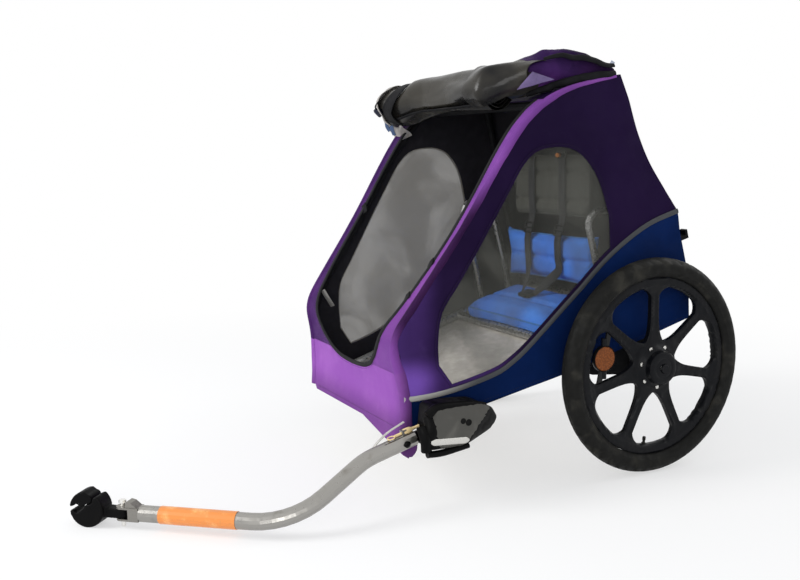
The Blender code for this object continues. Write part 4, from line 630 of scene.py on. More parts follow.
def lathe(profile, centre, axis, n=28, bm=None):
    """Turns (along, radius) pairs about an axis through centre."""
    bm = bm or bmesh.new()
    layer = bm.loops.layers.uv.get("UVMap") or bm.loops.layers.uv.new("UVMap")
    axis = Vector(axis).normalized()
    side = axis.orthogonal().normalized()
    other = axis.cross(side)
    rings = []
    for w, r in profile:
        c = Vector(centre) + axis * w
        around = turns(n if r else 1)
        rings.append([bm.verts.new(c + (side * cos(a) + other * sin(a)) * r) for a in around])
    for i, (a, b) in enumerate(zip(rings, rings[1:])):
        for k in range(n if len(a) + len(b) > 2 else 0):
            q = (k + 1) % n
            near = a if len(a) == 1 else [a[k], a[q]]
            far = b if len(b) == 1 else [b[q], b[k]]
            face = bm.faces.new(near + far)
            lay_uv(face, layer, [(k * 0.01, i * 0.01)] * 4)
    return bm


def smooth_out(bm, factor):
    """One pass that draws every point towards its neighbours."""
    bmesh.ops.smooth_vert(bm, verts=bm.verts, factor=factor, use_axis_x=True, use_axis_y=True,
                          use_axis_z=True)


def remeshed(made, voxel):
    """The object's shape as an even mesh of small squares."""
    remesh = made.modifiers.new("remesh", "REMESH")
    remesh.mode, remesh.voxel_size = "VOXEL", voxel
    graph = bpy.context.evaluated_depsgraph_get()
    mesh = bpy.data.meshes.new_from_object(made.evaluated_get(graph))
    made.modifiers.clear()
    return mesh


def stitches(points, ups, step=0.0062, long=0.0042, wide=0.0006, lift=0.0003, bm=None):
    """Row of sewn threads along a path."""
    bm = bm or bmesh.new()
    carry = 0.0
    for i in range(len(points) - 1):
        a, b = Vector(points[i]), Vector(points[i + 1])
        seg = (b - a).length
        if seg < 1e-6:
            continue
        along = (b - a) / seg
        up = ups[i] if isinstance(ups, list) else ups
        across = along.cross(up).normalized()
        t = carry
        while t < seg:
            c = a + along * t + up * lift
            ends = [bm.verts.new(c - along * long / 2), bm.verts.new(c + along * long / 2)]
            belt = [bm.verts.new(c + across * wide), bm.verts.new(c + up * wide),
                    bm.verts.new(c - across * wide), bm.verts.new(c - up * wide)]
            for k in range(4):
                bm.faces.new((ends[0], belt[k], belt[(k + 1) % 4]))
                bm.faces.new((ends[1], belt[(k + 1) % 4], belt[k]))
            t += step
        carry = t - seg
    return bm


# Fabric body

FADED, PURPLE = (0.33, 0.118, 0.46), (0.27, 0.088, 0.40)
# The side purple is the body's purple darkened as painted shade
SHADED_SIDE_PURPLE, SHADED_SIDE_DEEP = (0.0150, 0.0068, 0.0345), (0.0112, 0.0050, 0.0265)
NAVY, NAVY_DEEP = (0.0032, 0.0170, 0.0900), (0.0022, 0.0115, 0.0600)
BAND, BAND_DEEP = (0.26, 0.080, 0.38), (0.17, 0.052, 0.27)


def folds(seed, size, height, slant=(1.0, 1.0)):
    """Slow folds of a sheet: height(u, v) from seeded noise, stretched along one direction."""
    offset = Vector((7.3 * seed, 3.1 * seed, 0.0))

    def rise(u, v):
        p = Vector((u / size * slant[0], v / size * slant[1], 0.0)) + offset
        return height * (noise.noise(p) + 0.4 * noise.noise(p * 2.3))
    return rise


def flat_area(loops):
    """Area of an outline without its holes."""
    areas = []
    for loop in loops:
        twice = sum(a[0] * b[1] - b[0] * a[1] for a, b in zip(loop, loop[1:] + loop[:1]))
        areas.append(abs(twice) / 2)
    return areas[0] - sum(areas[1:])


def sheet(made, loops):
    """Works out a cloth's cut area and flat size, and the length of a narrow one or a ring; nothing is kept.
    """
    area = flat_area(loops)
    us, vs = [p[0] for p in loops[0]], [p[1] for p in loops[0]]
    flat = (max(us) - min(us), max(vs) - min(vs))
    if area < 0.32 * flat[0] * flat[1]:
        length = sum((b - a).length for loop in loops for a, b in zip(loop, loop[1:] + loop[:1])) / 2


def on_side(sign, sink=0.0):
    """Lays (y, z) on the side of the body, sunk a little and further inward by the third value."""
    return lambda y, z, inward: Vector((sign * (half_width(y, z) - sink - inward), y, z))


def on_line(line):
    """Lays (x, length along the line) on the surface that the line sweeps across the body."""
    def put(x, s, inward):
        p = line.point(s, inward)
        return Vector((x, p.x, p.y))
    return put


def edge_x(line, s, ease=0.0012):
    """Half width of a panel at a length along its line."""
    p = line.point(s)
    return half_width(p.x, p.y) - ease


def edge_points(line, s0, s1, sign=1):
    """Points down a panel's side edge between two lengths of its line."""
    at = [s0] + [s for s in line.at if s0 + 0.004 < s < s1 - 0.004] + [s1]
    return [(sign * edge_x(line, s), s) for s in at]


WINDOW = ([p + Vector((0, WINDOW_LIFT)) for p in PIPING.pts if WINDOW_FRONT_Y <= p.x <= WINDOW_REAR_Y]
          + smooth_line(WINDOW_TOP, 0.02))


def opening_half(s):
    """Half width of the front opening at a length along the front line."""
    z = FRONT.point(s).y
    for (z0, x0), (z1, x1) in zip(OPENING, OPENING[1:]):
        if z <= z1:
            return x0 + (x1 - x0) * max(0, (z - z0)) / (z1 - z0)
    return OPENING[-1][1]


def side_cloth(prefix, sign, purple, navy, lining, clear):
    """Purple side with its window's film, and the blue lower side."""
    top = FRONT.span(S_PIPING, FRONT.length)
    rear = REAR.span(0.0, S_REAR_PIPING)[1:]
    loops = [top + rear + PIPING.pts[-2:0:-1], WINDOW]
    bm = cloth_mesh(loops, on_side(sign), folds(sign, 0.17, 0.0034, (1.0, 0.45)))
    made = piece(prefix + "_side_cloth", bm, [purple, lining], nodes=[prefix + "_side_panel"],
                 slot="dark_purple_cloth")
    sheet(made, loops)
    relief = folds(4 + sign, 0.14, 0.0040, (0.6, 1.3))
    bm = cloth_mesh([WINDOW], on_side(sign, 0.0012), relief, 0.0008, 0.016, 0.0)
    made = piece(prefix + "_window_film", bm, clear, nodes=[prefix + "_window"], slot="clear_film")
    sheet(made, [WINDOW])
    low = FRONT.span(CORNER_CUT, S_PIPING) + PIPING.pts[1:-1] + REAR.span(S_REAR_PIPING, REAR.length)
    loops = [low + [Vector((-0.55, BODY_BOTTOM))]]
    bm = cloth_mesh(loops, on_side(sign), folds(9 + sign, 0.15, 0.0026, (0.5, 1.6)))
    made = piece(prefix + "_lower_cloth", bm, [navy, lining], nodes=[prefix + "_lower_side"],
                 slot="navy_cloth")
    sheet(made, loops)


def side_seams(prefix, sign, purple, thread):
    """Hem round the window, its two rows of stitches and the row along the lower edge."""
    out, put = Vector((sign, 0, 0)), on_side(sign)
    ring = [put(y, z, -0.0006) for y, z in resample(WINDOW, 0.012)]
    bm = sweep_mesh(ring, tape(0.0065, 0.0018), out, closed=True)
    piece(prefix + "_window_hem", bm, purple, slot="dark_purple_cloth")
    bm = bmesh.new()
    for grow in (0.0028, -0.0028):
        path = [put(y, z, -0.0016) for y, z in offset_loop(WINDOW, grow)]
        stitches(path + path[:1], out, bm=bm)
    ys = [-0.545 + 0.012 * i for i in range(59)]
    stitches([Vector((sign * (half_width(y, 0.06) + 0.0008), y, 0.0585)) for y in ys], out, bm=bm)
    piece(prefix + "_side_stitches", bm, thread, slot="webbing")


def offset_loop(pts, amount):
    """The outline grown by an amount."""
    area = sum(a.x * b.y - b.x * a.y for a, b in zip(pts, pts[1:] + pts[:1]))
    out = []
    for a, b, c in zip(pts[-1:] + pts[:-1], pts, pts[1:] + pts[:1]):
        d = ((b - a).normalized() + (c - b).normalized()).normalized()
        out.append(b + Vector((d.y, -d.x)) * amount * (1 if area > 0 else -1))
    return out


def nose_cloth(nose, lining, notch):
    """Nose panel below the opening's notch, with its loose corner."""
    low_x = edge_x(FRONT, 0)
    flap_x = low_x + FLAP_FLARE
    left = [(flap_x, -FLAP_DROP), (low_x + FLAP_FLARE * 0.3, -0.012)]
    left += edge_points(FRONT, 0, S_SPLIT)
    right = list(reversed(edge_points(FRONT, CORNER_CUT, S_SPLIT, -1)))
    bottom = [(-low_x + CORNER_CUT, 0.0), (-0.10, 0.0), (0.05, 0.0),
              ((0.05 + flap_x) / 2, -FLAP_DROP * 0.6), (flap_x - 0.024, -FLAP_DROP)]
    loops = [vectors(*left, *notch, *right, *bottom)]
    bm = cloth_mesh(loops, on_line(FRONT), folds(21, 0.16, 0.0040, (0.7, 1.2)), grid=0.012)
    sheet(piece("nose_cloth", bm, [nose, lining], nodes=["nose_panel"], slot="purple_cloth"), loops)


def band_cloths(bands, lining, edge):
    """Bands beside the opening; returns the opening's whole edge, grown from its bottom edge."""
    for prefix, sign in SIDES:
        outer = edge_points(FRONT, S_SPLIT, S_ROOF, sign)
        at = [S_ROOF + (S_SPLIT - S_ROOF) * i / 50 for i in range(51)]
        inner = [(sign * opening_half(s), s) for s in at]
        loops = [vectors(*outer, *inner)]
        bm = cloth_mesh(loops, on_line(FRONT), folds(25 + sign, 0.12, 0.0022), grid=0.010, pucker=0.0005)
        sheet(piece(prefix + "_band_cloth", bm, [bands[sign < 0], lining], nodes=[prefix + "_front_band"],
                    slot="purple_cloth"), loops)
        edge = (inner[:-1] + edge) if sign > 0 else edge + list(reversed(inner))[1:]
    return edge


def front_cloth(nose, bands, lining, binding, thread):
    """Front of the body: nose panel, bands, the opening's binding, and the rows of stitches."""
    notch = [(x, FRONT.where(lambda p, z=z: p.y - z)) for x, z in smooth_line(OPENING_BOTTOM, 0.015)]
    notch[0] = (notch[0][0], S_SPLIT)
    notch += [(-x, s) for x, s in reversed(notch[:-1])]
    nose_cloth(nose, lining, notch)
    smooth = smooth_line(band_cloths(bands, lining, notch), 0.012)
    put = on_line(FRONT)
    rim = [put(p.x, p.y, 0.0002) for p in smooth]
    up = [(put(p.x, p.y, -0.004) - put(p.x, p.y, 0.0)).normalized() for p in smooth]
    bm = sweep_mesh(rim, oval(0.011, 0.0058, 12), up)
    piece("opening_binding", bm, binding, slot="webbing")
    rows, lane = bmesh.new(), []
    for p, q in zip(smooth, smooth[1:]):
        along = (q - p).normalized()
        side = Vector((-along.y, along.x))
        lane.append(put(p.x + side.x * 0.0085, p.y + side.y * 0.0085, -0.0012))
    stitches(lane, up, bm=rows)
    seam = [put(0.115 + 0.011 * i, S_SPLIT, -0.0010) for i in range(13)]
    hem = [put(-0.22 + 0.012 * i, 0.012, -0.0010) for i in range(38)]
    for row in (seam, [Vector((-p.x, p.y, p.z)) for p in seam], hem):
        stitches(row, Vector((0, -1, 0.1)), bm=rows)
    piece("front_stitches", rows, thread, slot="webbing")


FOLD_SIZE, FOLD_SINK = 0.0260, 0.0076


def corner_folds(nose, bands):
    """Full round folds where the front cloth turns on to the sides, up and over the roof's edge."""
    put = on_line(FRONT)
    for prefix, sign in SIDES:
        for name, mat, s0, s1 in (("nose_fold", nose, 0.010, S_SPLIT),
                                   ("band_fold", bands[sign < 0], S_SPLIT, FRONT.length - 0.012)):
            n = int((s1 - s0) / 0.008)
            path, scales, ups = [], [], []
            for i in range(n + 1):
                s = s0 + (s1 - s0) * i / n
                big = 1.0 - 0.38 * smoothstep((s - S_SPLIT + 0.05) / 0.16)
                big -= 0.30 * smoothstep((s - S_ROOF) / 0.15)
                big *= 1 + 0.05 * sin(s * 46 + sign) + 0.03 * sin(s * 113)
                sink = FOLD_SINK * big
                path.append(put(sign * (edge_x(FRONT, s) + 0.0012 - sink), s, sink))
                scales.append(big)
                away = put(0, s, 0.0) - put(0, s, 0.01)
                ups.append((away.normalized() + Vector((sign, 0, 0))).normalized())
            bm = sweep_mesh(path, oval(FOLD_SIZE, FOLD_SIZE, 20), ups, scales=scales)
            piece(prefix + "_" + name, bm, mat, slot="purple_cloth")
    lobe = [Vector((0.300 - 0.004 * t, -0.600 - 0.012 * t - 0.004 * sin(3 * t), 0.066 - 0.048 * t))
            for t in (i / 8 for i in range(9))]
    scales = [0.80, 0.92, 1.0, 1.04, 1.04, 1.0, 0.88, 0.66, 0.30]
    bm = sweep_mesh(lobe, oval(0.036, 0.0075, 20), Vector((0.8, -0.6, 0.1)), scales=scales)
    piece("corner_lobe", bm, nose, slot="purple_cloth")


def across_panels(purple, navy, lining):
    """Roof, rear and lower rear panel: each reaches across the body between two lengths of a line."""
    for name, line, s0, s1, mat, seed, slot, hoop in (
            ("roof", FRONT, S_ROOF, FRONT.length, purple, 41, "dark_purple_cloth", "front_hoop"),
            ("rear", REAR, 0.0, S_REAR_PIPING, purple, 43, "dark_purple_cloth", "rear_hoop"),
            ("rear_lower", REAR, S_REAR_PIPING, REAR.length, navy, 45, "navy_cloth", "rear_hoop")):
        loops = [vectors(*edge_points(line, s0, s1), *reversed(edge_points(line, s0, s1, -1)))]
        bm = cloth_mesh(loops, on_line(line), folds(seed, 0.18, 0.003))
        made = piece(name + "_cloth", bm, [mat, lining], nodes=[name + "_panel"], slot=slot)
        sheet(made, loops)


def piping_tape():
    """Reflective tape along both sides: dark grey, with painted light that makes it pale at the front."""
    look = Shader("reflective_tape_painted_highlight", (0.15, 0.15, 0.15), 0.45, specular_ior_level=0.2)
    # Painted highlight: the tape turns pale towards the front and stays dark grey behind
    back = look.node("SeparateXYZ", {0: look.place}).outputs[1]
    mat = look.colour(look.mix(look.ramp(back, -0.06, 0.10), (0.44, 0.43, 0.40), (0.050, 0.053, 0.058))).mat
    for prefix, sign in SIDES:
        pts = [on_side(sign)(p.x, p.y, -0.0018) for p in PIPING.pts]
        bm = sweep_mesh(pts, oval(0.0120, 0.0052, 12), Vector((sign, 0, 0)))
        piece(prefix + "_piping_tape", bm, mat, nodes=[prefix + "_piping"], slot="piping_tape")


FLOOR_Z, FLOOR_EASE = 0.054, 0.006


def floor_cloth(mat):
    """Floor sheet between the side rails, sagging a little towards its middle."""
    y0 = FRONT.point(FRONT.where(lambda p: p.y - FLOOR_Z)).x + FLOOR_EASE
    y1 = REAR.point(REAR.length - 0.004).x - FLOOR_EASE
    ys = [y0 + (y1 - y0) * i / 40 for i in range(41)]
    right = [Vector((half_width(y, FLOOR_Z) - FLOOR_EASE, y)) for y in ys]
    loops = [right + [Vector((-p.x, p.y)) for p in reversed(right)]]

    def put(x, y, inward):
        sag = 0.006 * (1 - (x / 0.30) ** 2) * (1 - ((y + 0.20) / 0.42) ** 2)
        return Vector((x, y, 0.0562 - inward - max(0.0, sag) * 0.2))
    bm = cloth_mesh(loops, put, folds(31, 0.13, 0.0016), 0.0030, 0.018, 0.0)
    sheet(piece("floor_cloth", bm, mat, nodes=["floor_sling"], slot="floor_cloth"), loops)


# Seat pads, inflated as cloth and then sewn

def inflate(made, pressure=4.0, frames=16, cap=0.007):
    """Blows a closed shape up as cloth; no point moves further than the cap."""
    made.data = remeshed(made, 0.0055)
    rest = np.array([v.co for v in made.data.vertices])
    cloth = made.modifiers.new("cloth", "CLOTH")
    cloth.settings.quality = 4
    cloth.settings.mass = 0.25
    cloth.settings.tension_stiffness = cloth.settings.compression_stiffness = 12
    cloth.settings.bending_stiffness = 0.6
    cloth.settings.use_pressure = True
    cloth.settings.uniform_pressure_force = pressure
    cloth.settings.effector_weights.gravity = 0
    cloth.point_cache.frame_start, cloth.point_cache.frame_end = 1, frames
    for f in range(1, frames + 1):
        scene.frame_set(f)
    graph = bpy.context.evaluated_depsgraph_get()
    move = np.array([v.co for v in made.evaluated_get(graph).to_mesh().vertices]) - rest
    made.modifiers.clear()
    scene.frame_set(1)
    far = np.linalg.norm(move, axis=1, keepdims=True)
    rest = rest + move * np.minimum(1.0, cap / np.maximum(far, 1e-9))
    made.data.vertices.foreach_set("co", rest.astype(np.float32).ravel())
    made.data.update()


PAD_HALF = 0.205


def pad_shell(length, thick, crown, inset=0.006, nx=16, ny=10):
    """Closed shape of a pad lying flat in (across, along, up), domed and thinner at its edges."""
    bm = bmesh.new()
    grid = {}
    for i in range(nx + 1):
        for j in range(ny + 1):
            u, v = 2 * i / nx - 1, 2 * j / ny - 1
            x = u * (PAD_HALF - inset - 0.008 * (1 - v * v) * abs(u) ** 3)
            y = length / 2 + v * (length / 2 - inset - 0.006 * (1 - u * u) * abs(v) ** 3)
            high = (thick - inset * 1.4) * (1 - 0.45 * max(abs(u), abs(v)) ** 8)
            high += crown * (1 - u * u) * (1 - v * v)
            grid[i, j] = bm.verts.new((x, y, high)), bm.verts.new((x, y, inset * 0.3))
    for i in range(nx):
        for j in range(ny):
            a, b, c, d = grid[i, j], grid[i + 1, j], grid[i + 1, j + 1], grid[i, j + 1]
            bm.faces.new((a[0], b[0], c[0], d[0]))
            bm.faces.new((a[1], d[1], c[1], b[1]))
    rim = ([(i, 0) for i in range(nx)] + [(nx, j) for j in range(ny)]
           + [(i, ny) for i in range(nx, 0, -1)] + [(0, j) for j in range(ny, 0, -1)])
    for a, b in zip(rim, rim[1:] + rim[:1]):
        bm.faces.new((grid[b][0], grid[a][0], grid[a][1], grid[b][1]))
    return bm


def pad(name, node, length, thick, crown, channels, place, mats, slot):
    """A seat pad made flat, inflated, sewn down its channels, put in place and edged with a cord."""
    made = mesh_object(name, pad_shell(length, thick, crown))
    inflate(made)
    bm = bmesh.new()
    bm.from_mesh(made.data)
    smooth_out(bm, 0.4)
    for v in bm.verts:
        x, y, w = v.co
        if w > thick * 0.45:
            edge = smoothstep((PAD_HALF - abs(x)) / 0.03)
            for c in channels:
                gap = abs(y - c * length)
                w -= 0.0085 * math.exp(-(gap / 0.0055) ** 2) * edge
                w -= 0.0012 * sin(x * 210.0) * math.exp(-(gap / 0.014) ** 2) * edge
            w += 0.0016 * noise.noise(Vector((x * 13, y * 13, 2.0)))
        v.co = place(x, min(length - 0.001, max(0.001, y)), min(thick + crown, max(0.0008, w)))
    layer = bm.loops.layers.uv.new("UVMap")
    for corner in (c for face in bm.faces for c in face.loops):
        corner[layer].uv = corner.vert.co.xz if node != "seat_cushion" else corner.vert.co.xy
    skin = BVHTree.FromBMesh(bm)
    bm.to_mesh(made.data)
    bm.free()
    made.data.transform(LEVEL)
    made.data.shade_smooth()
    made.data.materials.clear()
    made.data.materials.append(mats[0])
    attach(made, "chassis")
    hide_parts(node)
    pad_cord(name, skin, length, thick, place, mats[1], slot)


def pad_cord(name, skin, length, thick, place, mat, slot):
    """Cord in the seam round a pad, laid on its skin."""
    rim = [(u * (PAD_HALF - 0.0045), length / 2 + v * (length / 2 - 0.0055))
           for u, v in square_ring(72, 0.28)]
    line = [skin.find_nearest(place(x, y, thick * 0.62))[0] for x, y in rim]
    line = [(a + 2 * b + c) / 4 for a, b, c in zip(line[-1:] + line[:-1], line, line[1:] + line[:1])]
    ups = [(place(x, y, 1) - place(x, y, 0)).normalized() for x, y in rim]
    piece(name + "_cord", sweep_mesh(line, oval(0.0046, 0.0046, 8), ups, closed=True), mat, slot=slot)


SEAT_FRONT, SEAT_BASE = -0.150, 0.0816
LOWER_BACK = Vector((0.030, 0.1449)), Vector((0.1934, 0.9811))
UPPER_BACK = Vector((0.0591, 0.2923)), Vector((0.2470, 0.9690))


def leaning(foot, along):
    """Places pad coordinates on a leaning plane: across, along it and out of it."""
    def place(x, v, w):
        p = foot + along * v + Vector((-along.y, along.x)) * w
        return Vector((x, p.x, p.y))
    return place


def seat(blue, grey):
    """Seat pad and both back pads, each with a cloth and a cord material."""
    pad("seat_pad", "seat_cushion", 0.184, 0.056, 0.007, (0.42,),
        lambda x, y, w: Vector((x, SEAT_FRONT + y, SEAT_BASE + w)), blue, "blue_cloth")
    pad("lower_back_pad", "lower_backrest", 0.14993, 0.028, 0.006, (0.5,), leaning(*LOWER_BACK), blue,
        "blue_cloth")
    pad("upper_back_pad", "upper_backrest", 0.21435, 0.014, 0.003, (0.33, 0.66), leaning(*UPPER_BACK), grey,
        "grey_cloth")


STRAP_X, STRAP_UP = 0.066, Vector((0, -1, 0.25))
STRAP_POINTS = ((0.0873, 0.4753), (0.0754, 0.4341), (0.0668, 0.4009), (0.0579, 0.3656), (0.0492, 0.3258),
                (0.0204, 0.2752), (0.0138, 0.2520), (0.0083, 0.2256), (0.0033, 0.1991))


def harness(strap, black, amber, thread):
    """Two shoulder straps with stitches, two slides each and an amber stud at their anchors."""
    slides, rows, anchors = bmesh.new(), bmesh.new(), bmesh.new()
    for prefix, sign in SIDES:
        path = [Vector((sign * STRAP_X, y - 0.0008, z)) for y, z in STRAP_POINTS]
        path += [Vector((sign * 0.046, -0.022, 0.176)), Vector((sign * 0.026, -0.058, 0.1510))]
        path = smooth_line(path, 0.008)
        n = len(path)
        scales = [1.0 - 0.12 * max(0, i - n + 5) for i in range(n)]
        bm = sweep_mesh(path, tape(0.026, 0.0020), STRAP_UP, scales=scales)
        piece(prefix + "_harness_strap", bm, strap, nodes=[prefix + "_shoulder_strap"], slot="webbing")
        for lane in (-0.0105, 0.0105):
            stitches([p + Vector((lane, -0.0013, 0.0003)) for p in path[:-5]], STRAP_UP, bm=rows)
        for k, high, thick in ((0, 0.016, 0.006), (n // 2, 0.026, 0.007)):
            up = (path[k] - path[k + 1]).normalized()
            slide(slides, path[k] + Vector((0, -0.0035, 0.001)), up, high, thick)
    piece("harness_adjusters", slides, black, slot="bracket_plastic")
    piece("harness_stitches", rows, thread, slot="webbing")
    for _, sign in SIDES:
        stud = vectors((sign * STRAP_X, 0.078, 0.4775), (sign * STRAP_X, 0.071, 0.4790))
        sweep_mesh(stud, oval(0.014, 0.011, 10), UP, bm=anchors)
    piece("harness_anchors", anchors, amber, slot="pin_plastic")


def slide(bm, centre, up, high, thick, wide=0.036):
    """Three-bar slide: a flat rounded frame with a middle bar."""
    across = Vector((1, 0, 0))
    out = up.cross(across).normalized()
    ring = [centre + across * u * wide / 2 + up * v * high / 2 for u, v in square_ring(20, 0.4)]
    sweep_mesh(ring, oval(0.0045, thick * 0.7, 8), out, closed=True, bm=bm)
    bar = [centre - across * wide / 2, centre + across * wide / 2]
    sweep_mesh(bar, oval(0.0045, thick * 0.6, 8), out, bm=bm)


# Rolled front cover on the roof

ROLL_AXIS = ((-0.320, -0.1650, 0.6735), (-0.290, -0.1641, 0.6739), (-0.225, -0.1598, 0.6761),
             (-0.150, -0.1369, 0.6878), (-0.100, -0.1284, 0.6916), (0.200, -0.1284, 0.6916))
ROLL_START, ROLL_LENGTH, ROLL_RADIUS = -0.292, 0.470, 0.057
ROLL_TURNS, ROLL_PITCH, VINYL = 2.7, 0.0078, 0.0013


def strap_x(a):
    """The strap lies aslant: further in over the roll's top than under it."""
    return -0.225 + 0.036 * max(0.0, sin(a))


def roll_point(x, a, sink=0.0):
    """A point of the wound cover's outside at x and angle a, or sunk below it."""
    for p, q in zip(ROLL_AXIS, ROLL_AXIS[1:]):
        if x <= q[0] or q is ROLL_AXIS[-1]:
            k = (x - p[0]) / (q[0] - p[0])
            y, z = p[1] + (q[1] - p[1]) * k, p[2] + (q[2] - p[2]) * k
            break
    t = (x - ROLL_START) / ROLL_LENGTH
    tied = math.exp(-((x - strap_x(a)) / 0.024) ** 2)
    fold = 0.0035 * sin(3 * a + 5.5 * t) + 0.0022 * sin(5 * a - 9 * t + 1)
    r = ROLL_RADIUS * (1 - 0.10 * t + 0.05 * sin(7.5 * t + 0.6)) + fold * (1 - tied) - 0.007 * tied - sink
    r -= 0.020 * smoothstep((-0.240 - x) / 0.052) * (0.55 - 0.45 * sin(a + 0.5))
    return Vector((x, y + r * cos(a), z + 0.93 * r * sin(a)))


def roll_out(x, a):
    """The way out of the roll's skin."""
    return (roll_point(x, a) - roll_point(x, a, 0.01)).normalized()


def cover_roll(vinyl, black):
    """The cover wound on itself, with the hem along its free edge."""
    per = 44
    rings = []
    for i in range(73):
        x = ROLL_START + ROLL_LENGTH * i / 72
        outer, inner = [], []
        for k in range(int(ROLL_TURNS * per) + 1):
            a = radians(-148) + 2 * pi * k / per
            deep = 0.0012 + ROLL_PITCH * k / per
            deep += 0.0026 * noise.noise(Vector((x * 7 + 1.4 * a, a * 0.8, 4.0)))
            shift = Vector((0.002 * sin(k * 0.9) * (i in (0, 72)), 0, 0))
            outer.append(roll_point(x, a, deep) + shift)
            inner.append(roll_point(x, a, deep + VINYL) + shift)
        rings.append(outer + inner[::-1])
    roll = piece("cover_roll", loft(rings), vinyl, nodes=["rolled_cover"], slot="grey_film", crease=50)
    xs = [-0.285 + 0.458 * i / 60 for i in range(61)]
    hem = [roll_point(x, radians(-146), 0.0004) for x in xs]
    ups = [roll_out(x, radians(-146)) for x in xs]
    piece("cover_hem", sweep_mesh(hem, oval(0.007, 0.0024, 10), ups), black, slot="webbing")


def cover_strap(black):
    """Strap pulled tight round the roll."""
    ring = [roll_point(strap_x(a), a, -0.0002) for a in turns(48)]
    ups = [roll_out(strap_x(a), a) for a in turns(48)]
    piece("cover_strap", sweep_mesh(ring, tape(0.042, 0.0022), ups, closed=True), black,
          nodes=["roll_strap"], slot="webbing")


def cover_end(pale):
    """Loose end of the vinyl past the strap."""
    turn = [radians(20) + radians(215) * k / 30 for k in range(31)]
    rings = []
    for i in range(13):
        x = -0.250 - 0.036 * i / 12
        lift = [0.0026 - 0.014 * (i / 12) ** 2 - 0.005 * noise.noise(Vector((i * 0.3, k * 0.22, 1.0)))
                for k in range(31)]
        row = [roll_point(x, a, -high) for a, high in zip(turn, lift)]
        rings.append(row + [p - roll_out(x, a) * 0.0011 for p, a in zip(row, turn)][::-1])
    end = piece("cover_end", loft(rings), pale, slot="grey_film")


def cover_toggle(black, navy_plastic, tag):
    """Toggle on its short cord, and two small tabs."""
    toggle = roll_point(-0.272, radians(176), -0.002)
    cord = [roll_point(-0.246, radians(150), -0.002), roll_point(-0.260, radians(162), -0.006), toggle]
    line = smooth_line(cord, 0.006)
    loose = piece("toggle_cord", sweep_mesh(line, oval(0.004, 0.004, 8), UP), black, slot="webbing")
    profile = (-0.014, 0), (-0.014, 0.006), (-0.010, 0.0085), (0.006, 0.0095), (0.011, 0.0075), (0.012, 0)
    grip = lathe(profile, toggle, (-0.3, -0.4, 1))
    piece("cover_toggle", grip, navy_plastic, slot="bracket_plastic")
    line = [LEVEL @ p for p in line]
    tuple(line[0])
    sum((b - a).length for a, b in zip(line, line[1:]))
    tabs = bmesh.new()
    for x, a, turn in ((-0.262, radians(215), 0.5), (-0.250, radians(230), -0.2)):
        p = roll_point(x, a, 0.001)
        drop = [p, p + Vector((-0.006 * turn, -0.001, -0.014)), p + Vector((0.004 * turn, 0.002, -0.026))]
        sweep_mesh(smooth_line(drop, 0.006), tape(0.011, 0.0016), Vector((0.5, -1, 0.1)), bm=tabs)
    piece("cover_tabs", tabs, tag, slot="blue_cloth")


def cover_corner(pale):
    """Corner of the cover that hangs below its far end."""
    out = Vector((0.3, -1, 0)).normalized()
    rows = []
    for i in range(11):
        t = i / 10
        a = roll_point(-0.288 + 0.010 * t, radians(200)).lerp(Vector((-0.286, -0.176, 0.585)), t)
        b = roll_point(-0.215 - 0.006 * t, radians(238)).lerp(Vector((-0.246, -0.150, 0.596)), t)
        row = [a.lerp(b, k / 10) + out * 0.0045 * sin(7 * k / 10 + 5 * t) for k in range(11)]
        rows.append(row + [p + Vector((0.0003, 0.0011, 0.0)) for p in reversed(row)])
    corner = piece("cover_corner", loft(rows), pale, slot="grey_film")


# Folded flap behind the roll, and moulded shapes taken over from the CAD nodes

def copied(node, voxel, passes):
    """A new mesh with a CAD node's shape, remeshed and smoothed, in the level frame."""
    made = bpy.data.objects.new(node + "_shape", bpy.data.objects[node].data.copy())
    scene.collection.objects.link(made)
    made.data.transform(LEVEL.inverted() @ bpy.data.objects[node].matrix_world)
    mesh = remeshed(made, voxel)
    bpy.data.objects.remove(made)
    bm = bmesh.new()
    bm.from_mesh(mesh)
    bpy.data.meshes.remove(mesh)
    for _ in range(passes):
        smooth_out(bm, 0.5)
    return bm


def rounded(node, body, mat):
    """The CAD shape with its edges moulded round, in place of the plain solid."""
    piece(node + "_moulding", copied(node, 0.0016, 5), mat, body=body, nodes=[node], slot="hitch_plastic",
          crease=70)


def flap_fold(cloth, vinyl):
    """Cloth lump with soft folds; its front part is the vinyl that runs on from the roll."""
    bm = copied("folded_flap", 0.0035, 3)
    bm.normal_update()
    ys = [v.co.y for v in bm.verts]
    y0, y1 = min(ys), max(ys)
    for v in bm.verts:
        p = v.co.copy()
        along = (p.y - y0) / (y1 - y0)
        wave = 0.0034 * sin(95 * p.z + 9 * along + 3 * noise.noise(p * 9))
        v.co = p + v.normal * (wave * smoothstep(along * 6) * smoothstep((1 - along) * 6)
                               + 0.0030 * noise.noise(Vector((p.x * 20, p.y * 11, p.z * 26))))
    layer = bm.loops.layers.uv.new("UVMap")
    for face in bm.faces:
        face.smooth = True
        mid = face.calc_center_median()
        face.material_index = int(mid.y + 0.35 * (mid.z - 0.70) < -0.064 + 0.008 * sin(mid.z * 130))
        for corner in face.loops:
            corner[layer].uv = (corner.vert.co.y, corner.vert.co.z + corner.vert.co.x)
    flap = piece("flap_fold", bm, [cloth, vinyl], nodes=["folded_flap"], slot="dark_purple_cloth", crease=80)
    return y0, y1


